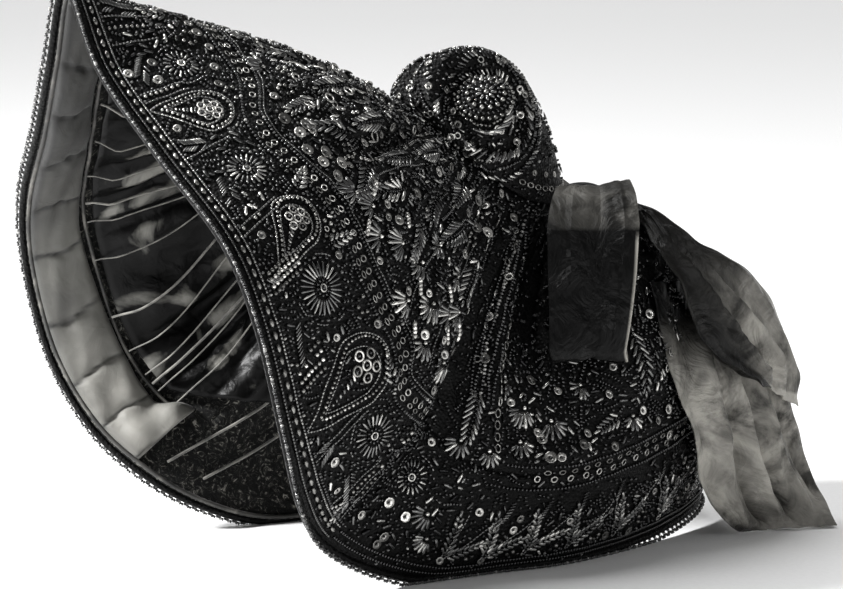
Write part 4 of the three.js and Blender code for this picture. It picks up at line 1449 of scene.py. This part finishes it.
def make_button():
    columns, rings = 48, 12
    a, v = np.meshgrid(2 * np.pi * np.arange(columns) / columns, np.linspace(1.0, 1 / rings, rings))
    points = button_dome(a, v).reshape(-1, 3)
    under = (button_dome(a[:1], v[:1]) - BUTTON_AXIS * 2.2).reshape(-1, 3)
    top = button_dome(np.array([0.0]), np.array([0.0]))
    base = BUTTON_AT[None] - BUTTON_AXIS * (SEAT + 0.4)
    points = np.concatenate([under, points, base, top])
    first, last = len(points) - 2, len(points) - 1
    place = lambda i, j: j * columns + i % columns
    faces = []
    for i in range(columns):
        faces.append((first, place(i + 1, 0), place(i, 0)))
        faces.append((last, place(i, rings), place(i + 1, rings)))
        for j in range(rings):
            faces.append((place(i, j), place(i + 1, j), place(i + 1, j + 1), place(i, j + 1)))
    done(mesh_piece("button_cloth", points, faces, GROUND), "glass_beads", "knob_button")


def button_work():
    def ring(kind, radius, count, turn=0.0, **more):
        a = 2 * np.pi * np.arange(count) / count
        sew(BUTTON_SKIN, kind, a, np.full(count, radius / BUTTON_RADIUS), turn, over=True, **more)

    sew(BUTTON_SKIN, "pearl", 0.0, 0.03, size=1.1, tone=0.6, over=True)
    ring("bugle", 3.6, 9, np.pi / 2, long=0.72, size=1.0, tone=0.55)
    ring("seed", 6.4, 16, tone=0.3)
    ring("pearl", 8.4, 14, size=0.95, tone=0.6)
    ring("seed", 10.6, 30, size=0.9, tone=0.35)
    ring("pearl", 12.2, 26, size=0.85, tone=0.45)


make_knob()
make_button()
knob_work()
button_work()
set_tray("knob", both_sides=False)
set_tray("button", both_sides=False)


# ---- The edge: a bound cord with a bead loop every few millimetres ------------------------------------
LOOP_PITCH = 4.5
LOOP_BEADS = 6


def tube(name, path, radius, sides, material, closed=False, twist=0.0, lobes=0, swell=0.0):
    """A cord along points in mm. Lobes and a twist per mm give it strands."""
    path = np.asarray(path, float)
    n = len(path)
    slope = np.roll(path, -1, 0) - np.roll(path, 1, 0) if closed else np.gradient(path, axis=0)
    slope = unit(slope)
    side = [unit(np.cross(slope[0], [0.3, 0.2, 1.0]))]
    for k in range(1, n):
        carried = side[-1] - slope[k] * (side[-1] @ slope[k])
        side.append(unit(carried))
    side = np.array(side)
    up = np.cross(slope, side)
    gone = np.concatenate([[0], np.cumsum(np.linalg.norm(np.diff(path, axis=0), axis=1))])
    points, uv = [], []
    for k in range(n):
        for m in range(sides):
            a = 2 * math.pi * m / sides
            r = radius * (1 + swell * math.cos(lobes * a + twist * gone[k]))
            points.append(path[k] + r * (math.cos(a) * side[k] + math.sin(a) * up[k]))
            uv.append((gone[k] * MM, m / sides))
    faces = []
    for k in range(n if closed else n - 1):
        for m in range(sides):
            b, c = (m + 1) % sides, (k + 1) % n
            faces.append((k * sides + m, k * sides + b, c * sides + b, c * sides + m))
    if not closed:
        faces.append(tuple(range(sides))[::-1])
        faces.append(tuple((n - 1) * sides + m for m in range(sides)))
    return mesh_piece(name, points, faces, material, uv)


def joined(name, pieces):
    """One piece made of several, in the order given."""
    whole = bmesh.new()
    for piece in pieces:
        whole.from_mesh(piece.data)
    mesh = bpy.data.meshes.new(name)
    whole.to_mesh(mesh)
    whole.free()
    mesh.materials.append(pieces[0].data.materials[0])
    for piece in pieces:
        bpy.data.objects.remove(piece, do_unlink=True)
    return link(bpy.data.objects.new(name, mesh))


def edge_frames(r, count):
    """Even places round the edge at r: point, direction along, direction off the edge, and outwards."""
    spoke = np.linspace(0, ROUND, 6000, endpoint=False)
    line = plain(spoke, np.full(6000, r))
    gone = np.concatenate([[0], np.cumsum(np.linalg.norm(np.diff(line, axis=0), axis=1))])
    total = gone[-1] + np.linalg.norm(line[0] - line[-1])
    u = np.interp(np.arange(count) * total / count, gone, spoke)
    r = np.full(count, r)
    point, ahead = plain(u, r), unit(plain(u + 0.01, r) - plain(u - 0.01, r))
    out = outward(u, r)
    off = unit(np.cross(ahead, out))
    off = off * np.sign((off * (point - plain(u, r - 0.03))).sum(-1, keepdims=True))
    return point, ahead, off, out, total


def make_edge():
    point, _, _, out, total = edge_frames(TRIM_AT, 800)
    core = point + out * -0.2
    core[:, 2] = np.maximum(core[:, 2], 1.7)
    done(tube("edge_binding", core, 1.7, 8, GROUND, closed=True), "glass_beads", "edge_trim")
    loops = int(total / LOOP_PITCH)
    point, ahead, off, out, _ = edge_frames(TRIM_AT, loops)
    places, lies, outs, tones = [], [], [], []
    for k in range(LOOP_BEADS):
        a = math.pi * (k + 0.5) / LOOP_BEADS
        along_mm, reach = -2.3 * math.cos(a), 1.0 + 2.9 * math.sin(a)
        lean = 0.55 * off + 0.83 * out
        places.append(point + ahead * along_mm + lean * reach)
        lies.append(ahead * math.sin(a) + lean * math.cos(a))
        outs.append(unit(np.cross(ahead, lean)))
        tones.append(dice.random(loops) ** 1.5)
    places, lies, outs, tones = (np.concatenate(k) for k in (places, lies, outs, tones))
    places[:, 2] = np.maximum(places[:, 2], 1.0)
    size = np.full((len(places), 3), 0.92)
    done(set_beads("edge_loop_beads", "seed", places, lies, outs, size, tones), "glass_beads")
    point, ahead, off, out, _ = edge_frames(0.972, 700)
    cord_path = point - out * (BEADED_WALL + 0.9)
    cord_path[:, 2] = np.maximum(cord_path[:, 2], 1.2)
    piping = tube("rim_piping", cord_path, 1.1, 8, DARK_CORD, closed=True, twist=1.6, lobes=3, swell=0.14)
    done(piping, "facing_satin")


make_edge()


# ---- Inside: shirred lining, quilted facing, its cord and the drawing threads --------------------------
LINING_DEPTH = BEADED_WALL + 3.8
FACING_DEPTH = BEADED_WALL + 1.2
FACING_END, FACING_FROM, PUFFS = 6.7, 0.835, 19
TIP_R, TIP_HOLE, TIP_DROP = -0.24, 0.1, 8


LINING_ROLLS = 1.5  # rolls to a spoke


def fold_height(spoke, r):
    """Rolls of the gathered lining, 0 in a hollow and 1 along a top. They fan out from the crown."""
    wander = 0.16 * np.sin(5.0 * r + 1.9 * spoke) + 0.05 * np.sin(17 * r + 3.1 * spoke)
    return np.abs(np.sin(np.pi * (LINING_ROLLS * spoke + wander))) ** 0.8


def gathers(spoke, r):
    """How far the lining's folds stand in from the shell, mm."""
    rolls = fold_height(spoke, r)
    pleat = np.abs(np.sin(np.pi * (4.3 * spoke + 0.8 * np.sin(6 * r + spoke)))) * np.sin(9 * r + 2.3 * spoke) ** 2
    dent = 0.5 + 0.5 * np.sin(26 * r + 3.4 * np.sin(2.1 * spoke))
    fade = smoothstep(-0.2, 0.15, r) * (1 - 0.8 * smoothstep(0.7, 0.82, r))
    return (5.6 * rolls + 1.3 * pleat + 1.1 * dent * rolls) * fade


def lining_face(extra):
    def face(i, j):
        spoke = ROUND * i
        end = FACING_FROM - 0.03 - 0.2 * smoothstep(6, 8, from_peak(spoke))
        r = TIP_R + (end - TIP_R) * j
        held = np.maximum(r, 0)
        depth = LINING_DEPTH + extra + gathers(spoke, r)
        point = shell(spoke, held, 0) - outward(spoke, held) * depth[..., None]
        tip = np.zeros(point.shape)
        tip[..., 1] = FOOT_CENTRE[0]
        tip[..., 2] = FOOT_CENTRE[1] - TIP_DROP - extra
        drawn = np.where(r < 0, (1 - TIP_HOLE) * r / TIP_R, 0.0)[..., None]
        return point * (1 - drawn) + tip * drawn

    return face


def make_lining():
    columns, rows = 280, 56
    lining = wall("silk_lining", lining_face(0.0), lining_face(1.0), columns, rows, LINING, closed=True)
    spoke, r = np.meshgrid(np.linspace(0, ROUND, columns, endpoint=False), np.linspace(TIP_R, 0.8, rows + 1))
    # the fold tops, where the lining's colour carries a painted highlight
    ridge = smoothstep(0.45, 0.95, fold_height(spoke, r)) * smoothstep(0.25, 0.5, r)
    attribute(lining.data, "ridge", "FLOAT", np.tile(ridge.ravel(), 2))
    done(lining, "lining_silk", "lining")


def tack_distance(i, j):
    """0 on a tacked line across the facing, 1 midway between two."""
    place = PUFFS * i + 0.14 * np.sin(11 * i) + 0.05 * np.sin(5 * j + 30 * i)
    return np.abs(np.sin(np.pi * place))


def quilting(i, j):
    """How far the facing's inner face puffs up at (i, j): padded between tacked lines."""
    cell = tack_distance(i, j)
    across = np.sin(np.pi * np.clip(j, 0, 1)).clip(0, 1)
    pucker = 0.14 * np.sin(17 * j + 6 * np.sin(50 * i)) * np.exp(-((cell / 0.35) ** 2))
    wrinkle = 0.07 * np.sin(51 * i + 7 * j) * np.sin(11 * j + 40 * i)
    crumple = 0.22 * np.sin(8 * j + 90 * i) * smoothstep(0.36, 0.48, np.abs(i - 0.5))
    return (cell**0.34 * across**0.4 + (pucker + wrinkle + crumple) * across) * (0.9 + 0.2 * np.sin(23.0 * i))


FACING_WALL, FACING_PUFF = 1.6, 4.4
CURL = 9.0  # mm that the loose ends of the facing curl up at their inner corners


def facing_face(depth, swell):
    def face(i, j):
        spoke = FACING_END * (2 * i - 1)
        ragged = 0.006 * np.sin(37 * i) * (1 - j)
        loose = smoothstep(0.462, 0.5, np.abs(i - 0.5)) * (1 - j) ** 1.5
        curl = loose * np.sin(3.0 * loose + 0.6)
        r = FACING_FROM + ragged + (0.968 - FACING_FROM - ragged) * j - 0.055 * loose
        spoke, r = np.broadcast_arrays(np.mod(spoke, ROUND), r)
        lift = quilting(i, j) * swell + depth + CURL * curl
        return shell(spoke, r, 0) - outward(spoke, r) * lift[..., None]

    return face


def make_facing():
    columns, rows = 408, 18
    facing = wall("quilted_facing", facing_face(FACING_DEPTH, 0),
        facing_face(FACING_DEPTH + FACING_WALL, FACING_PUFF),
                  columns, rows, SATIN)
    i, j = np.meshgrid(np.linspace(0, 1, columns + 1), np.linspace(0, 1, rows + 1))
    # painted shade: dark along each tacked line and the outer edge, and over the middle by the peak where shadow
    # falls
    tuck = 0.7 * np.exp(-((tack_distance(i, j) / 0.10) ** 2)) + 0.5 * np.exp(-(((1 - j) / 0.1) ** 2))
    tuck += 0.92 * (1 - smoothstep(0.12, 0.42, np.abs(i - 0.5)))
    attribute(facing.data, "tuck", "FLOAT", np.tile(np.clip(tuck, 0, 1).ravel(), 2))
    done(facing, "facing_satin", "facing")


def make_facing_cord():
    spoke = np.linspace(-FACING_END, FACING_END, 420)
    r = FACING_FROM - 0.0125 + 0.003 * np.sin(3 * spoke)
    depth = FACING_DEPTH + 1.1 + 0.6 * np.sin(4.1 * spoke)
    path = shell(np.mod(spoke, ROUND), r, 0) - outward(np.mod(spoke, ROUND), r) * depth[:, None]
    piping = tube("facing_piping", path, 0.9, 8, DARK_CORD, twist=1.6, lobes=3, swell=0.16)
    done(piping, "facing_satin", "facing_cord")


def thread(name, path, radius):
    """A drawing thread held at both ends."""
    path = np.asarray(path)
    obj = tube(name, path, radius, 6, THREAD)
    obj = done(obj, "facing_satin")
    world = (path + SHIFT) * MM
    tuple(world[0])
    [tuple(p) for p in world]


DRAWN = [  # spokes from the peak where a thread starts and where it ends, and its end r
    (1.6, 1.5, 0.36), (2.2, 2.2, 0.42), (2.8, 2.7, 0.30), (3.35, 3.2, 0.34), (3.75, 3.4, 0.30),
    (4.3, 3.9, 0.36),
    (4.9, 4.3, 0.32), (5.35, 4.5, 0.30), (5.75, 4.9, 0.28), (5.95, 5.3, 0.26), (6.15, 5.2, 0.24),
    (6.5, 5.9, 0.26),
]
CLEAR_OF_FOLDS = 8.2  # mm from the lining's hollows to the thread: it rides over the rolls


def make_threads():
    for side, name in ((1, "near"), (-1, "far")):
        for k, (start, end, far_r) in enumerate(DRAWN):
            t = np.linspace(0, 1, 28)
            spoke = start + (end - start) * t**1.3 + 0.05 * np.sin(2 * np.pi * t + k)
            r = 0.822 + (far_r - 0.822) * t
            ride = CLEAR_OF_FOLDS * smoothstep(0, 0.14, t) * (1 - 0.6 * smoothstep(0.9, 1, t))
            depth = LINING_DEPTH + 1.6 + ride
            path = plain(spoke, r) - outward(spoke, r) * depth[:, None]
            path[:, 2] -= 2.2 * np.sin(np.pi * t)
            thread(f"drawing_thread_{name}_{k + 1}", path * [side, 1, 1], 0.38 if k % 3 else 0.62)


def running_stitch(name, side):
    """One long row of stitches down across the rolls, holding them."""
    count = 26
    ends = np.linspace(2.9, 5.6, 2 * count).reshape(count, 2)
    paths = []
    for first, last in ends:
        spoke = np.linspace(first, last, 4)
        r = 0.52 - 0.05 * (spoke - 2.9)
        spoke = spoke if side > 0 else ROUND - spoke
        depth = LINING_DEPTH + 1.9 + gathers(spoke, r)
        paths.append(shell(spoke, r, 0) - outward(spoke, r) * depth[:, None])
    stitches = [tube(f"stitch_{k}", path, 0.35, 5, THREAD) for k, path in enumerate(paths)]
    done(joined(name, stitches), "facing_satin")


def make_bare_cords():
    """Pale cords laid across the back of the embroidery, where the lining stops short of the edge."""
    for side, name in ((1, "near"), (-1, "far")):
        for k, (start, end, near_r, far_r) in enumerate([(7.0, 7.5, 0.93, 0.60), (7.6, 8.3, 0.92, 0.62)]):
            t = np.linspace(0, 1, 30)
            spoke = start + (end - start) * t
            r = near_r + (far_r - near_r) * t
            depth = BEADED_WALL + 1.5 + 2.0 * np.sin(np.pi * t)
            path = shell(spoke, r, 0) - outward(spoke, r) * depth[:, None]
            thread(f"bare_cord_{name}_{k + 1}", path * [side, 1, 1], 0.7)


make_lining()
make_facing()
make_facing_cord()
make_threads()
running_stitch("running_stitch_near", 1)
running_stitch("running_stitch_far", -1)
make_bare_cords()


# ---- The bow: one wide ribbon in two loops, two tails and a knot --------------------------------------
RIBBON_THICK = 0.7
LOOP_CREASE = 0.30
LOOP_FRONT = [
    [[8, 316, 158], [25, 301, 168], [39, 285, 174]],
    [[39, 285, 174], [50, 275, 167], [60, 267, 157]],
    [[60, 267, 157], [74, 259, 130], [86, 252, 104]],
    [[86, 252, 104], [84, 256, 99], [80, 260, 106]],
    [[80, 260, 106], [64, 273, 134], [38, 294, 155], [10, 318, 155]],
]
LOOP_BACK = [
    [[8, 334, 161], [26, 328, 170], [45, 323, 176]],
    [[45, 323, 176], [58, 318, 170], [69, 313, 158]],
    [[69, 313, 158], [82, 302, 128], [88, 293, 100]],
    [[88, 293, 100], [86, 296, 96], [81, 298, 103]],
    [[81, 298, 103], [66, 312, 133], [38, 322, 157], [10, 332, 156]],
]
UPPER_OUTER = [[16, 340, 163], [34, 350, 155], [35, 368, 143], [36, 394, 129], [36, 414, 108],
    [35, 426, 80], [34, 432, 55]]
UPPER_INNER = [[20, 336, 161], [44, 332, 153], [60, 330, 143], [68, 336, 128], [74, 342, 108],
    [74, 356, 92], [68, 384, 76]]
LOWER_OUTER = [[30, 384, 122], [31, 404, 96], [32, 422, 70], [34, 430, 48], [44, 432, 26], [58, 432, 11],
    [72, 429, 1.2]]
LOWER_INNER = [[58, 326, 128], [68, 328, 100], [76, 332, 74], [80, 338, 54], [77, 344, 34], [68, 362, 12],
    [60, 380, 1.2]]
KNOT_AT, KNOT_HALF = np.array([0, 325, 165.0]), np.array([11, 12, 5.5])


def smooth_line(points, t):
    """A smooth curve through points, at places t from 0 to 1 by distance."""
    p = np.asarray(points, float)
    ends = np.concatenate([[2 * p[0] - p[1]], p, [2 * p[-1] - p[-2]]])
    fine = np.concatenate(
        [between(*ends[k : k + 4],
        np.linspace(0, 1, 40, endpoint=False)) for k in range(len(p) - 1)] + [p[-1:]]
    )
    return along_line(fine, t)


def along_line(fine, t):
    gone = np.concatenate([[0], np.cumsum(np.linalg.norm(np.diff(fine, axis=0), axis=1))])
    return np.stack([np.interp(t * gone[-1], gone, fine[:, k]) for k in range(3)], -1)


def creased_line(spans, t):
    """Smooth spans end to end, with a crease where they meet."""
    fine = np.concatenate([smooth_line(span, np.linspace(0, 1, 60)) for span in spans])
    return along_line(fine, t)


def nowhere(i, j):
    return 0.0 * i


def ribbon(name, first, second, folds, columns, rows, mirror=1, ripple=0.5, faded=nowhere, selvage=nowhere):
    """Ribbon between its two selvages, at even steps. folds run across it: places j at its start and
    end, from i, to i, width and height in mm. faded and selvage say how pale it is at (i, j); the
    first is real fading together with painted light."""
    i = np.linspace(0, 1, columns + 1)
    j = np.linspace(0, 1, rows + 1)
    grid = first(i)[:, None] * (1 - j)[:, None] + second(i)[:, None] * j[:, None]
    normal = unit(np.cross(np.gradient(grid, axis=0), np.gradient(grid, axis=1)))
    ii, jj = np.meshgrid(i, j, indexing="ij")
    lift = ripple * np.sin(9 * ii + 7 * jj) * np.sin(14 * jj - 6 * ii + 1)
    lift = lift + 0.5 * ripple * np.sin(31 * ii - 12 * jj) * np.sin(23 * jj + 17 * ii)
    for start, end, low, high, wide, tall in folds:
        line = start + (end - start) * ii
        within = smoothstep(low, low + 0.12, ii) * (1 - smoothstep(high - 0.12, high, ii))
        lift = lift + tall * within * np.exp(-np.abs((jj - line) / wide) ** 1.3)
    grid = grid + normal * lift[..., None]
    grid[..., 2] = np.maximum(grid[..., 2], 1.2 + 0.5 * np.abs(np.sin(13 * jj + 5 * ii)))
    normal = unit(np.cross(np.gradient(grid, axis=0), np.gradient(grid, axis=1)))
    faces = [grid + normal * side * RIBBON_THICK / 2 for side in (1, -1)]

    def sheet_face(k):
        return lambda a, b: (faces[k] * [mirror, 1, 1]).transpose(1, 0, 2)

    sides = (0, 1) if mirror > 0 else (1, 0)
    made = wall(name, sheet_face(sides[0]), sheet_face(sides[1]), columns, rows, RIBBON)
    made.data.flip_normals()
    for key, table in (("faded", faded), ("selvage", selvage)):
        values = np.broadcast_to(table(ii, jj), ii.shape).T.ravel()
        attribute(made.data, key, "FLOAT", np.tile(values, 2))
    return made


def ribbon_piece(made, node_name):
    done(made, "ribbon_silk", node_name)


def make_bow():
    loop_folds = [(0.2, 0.35, 0.0, 0.5, 0.05, 1.2), (0.6, 0.5, 0.1, 0.9, 0.08, -1.0),
        (0.8, 0.9, 0.0, 0.6, 0.05, 1.0)]
    front = lambda t: creased_line(LOOP_FRONT, t)
    back = lambda t: creased_line(LOOP_BACK, t)
    for side, word in ((1, "near"), (-1, "far")):
        loop = ribbon(
            f"ribbon_loop_{word}", front, back, loop_folds, 120, 24, side,
            # painted light: the loop's top face, before its crease, tinted paler than its hanging face
            faded=lambda i, j: 0.16 * (i < LOOP_CREASE),
            selvage=lambda i, j: (j > 0.975) * smoothstep(LOOP_CREASE, LOOP_CREASE + 0.03, i) * (i < 0.6),
        )
        loop.data.set_sharp_from_angle(angle=math.radians(16))
        ribbon_piece(loop, f"bow_loop_{word}")
    upper_folds = [
        (0.10, 0.40, 0.05, 1.0, 0.05, 6.5), (0.25, 0.55, 0.1, 1.0, 0.035, -7.0),
        (0.38, 0.70, 0.15, 1.0, 0.05, 6.0),
        (0.5, 0.78, 0.3, 1.0, 0.03, -5.0), (0.62, 0.45, 0.35, 0.8, 0.06, -3.0),
        (0.75, 0.95, 0.35, 1.0, 0.06, 4.0),
        (0.1, 0.05, 0.4, 1.0, 0.04, -3.0), (0.9, 0.6, 0.5, 0.9, 0.04, 2.5),
    ]
    upper = ribbon("ribbon_tail_upper", lambda t: smooth_line(UPPER_INNER, t),
        lambda t: smooth_line(UPPER_OUTER, t),
                   upper_folds, 90, 60, ripple=1.3,
                   # paler towards the tail's end and outer selvage: real fading together with painted sheen
                   faded=lambda i, j: 0.03 + 0.95 * smoothstep(0.35, 0.8, i) * smoothstep(0.15, 0.6, j),
                   selvage=lambda i, j: 0.8 * (i > 0.965) * (j > 0.25))
    ribbon_piece(upper, "bow_tail_upper")
    lower_folds = [
        (0.42, 0.10, 0.1, 1.0, 0.06, 6.0), (0.5, 0.30, 0.15, 1.0, 0.035, -8.0),
        (0.55, 0.45, 0.1, 1.0, 0.05, 7.0),
        (0.6, 0.62, 0.15, 1.0, 0.03, -8.0), (0.66, 0.80, 0.2, 1.0, 0.05, 5.0),
        (0.8, 0.95, 0.2, 0.9, 0.025, -5.0),
        (0.2, 0.0, 0.3, 0.9, 0.04, -3.0), (0.9, 0.6, 0.5, 1.0, 0.03, 3.0),
    ]
    lower = ribbon("ribbon_tail_lower", lambda t: smooth_line(LOWER_INNER, t),
        lambda t: smooth_line(LOWER_OUTER, t),
                   lower_folds, 90, 60, ripple=1.0,
                   # paler from near the knot down, a little less at the end: real fading together with painted
                   # sheen
                   faded=lambda i, j: 0.95 * smoothstep(0.1, 0.45, i) * (1 - 0.5 * smoothstep(0.75, 0.95, i)))
    ribbon_piece(lower, "bow_tail_lower")


def make_knot():
    """The knot is ribbon pulled tight: pleats run over it from front to back."""
    columns, rows = 64, 32
    points = []
    for b in range(1, rows):
        polar = math.pi * b / rows
        for a in range(columns):
            turn = 2 * math.pi * a / columns
            n = np.array([math.sin(polar) * math.cos(turn), math.cos(polar),
                math.sin(polar) * math.sin(turn)])
            pleat = 1 + 0.05 * math.sin(7 * turn + 2 * math.cos(polar)) * math.sin(polar)
            points.append(KNOT_AT + n * KNOT_HALF * pleat)
    points += [KNOT_AT + KNOT_HALF * [0, 1, 0], KNOT_AT - KNOT_HALF * [0, 1, 0]]
    first, last = len(points) - 2, len(points) - 1
    place = lambda a, b: b * columns + a % columns
    faces = []
    for a in range(columns):
        faces.append((first, place(a + 1, 0), place(a, 0)))
        faces.append((last, place(a, rows - 2), place(a + 1, rows - 2)))
        for b in range(rows - 2):
            faces.append((place(a, b), place(a + 1, b), place(a + 1, b + 1), place(a, b + 1)))
    knot = mesh_piece("ribbon_knot", points, faces, RIBBON)
    done(knot, "ribbon_silk", "bow_knot")


make_bow()
make_knot()
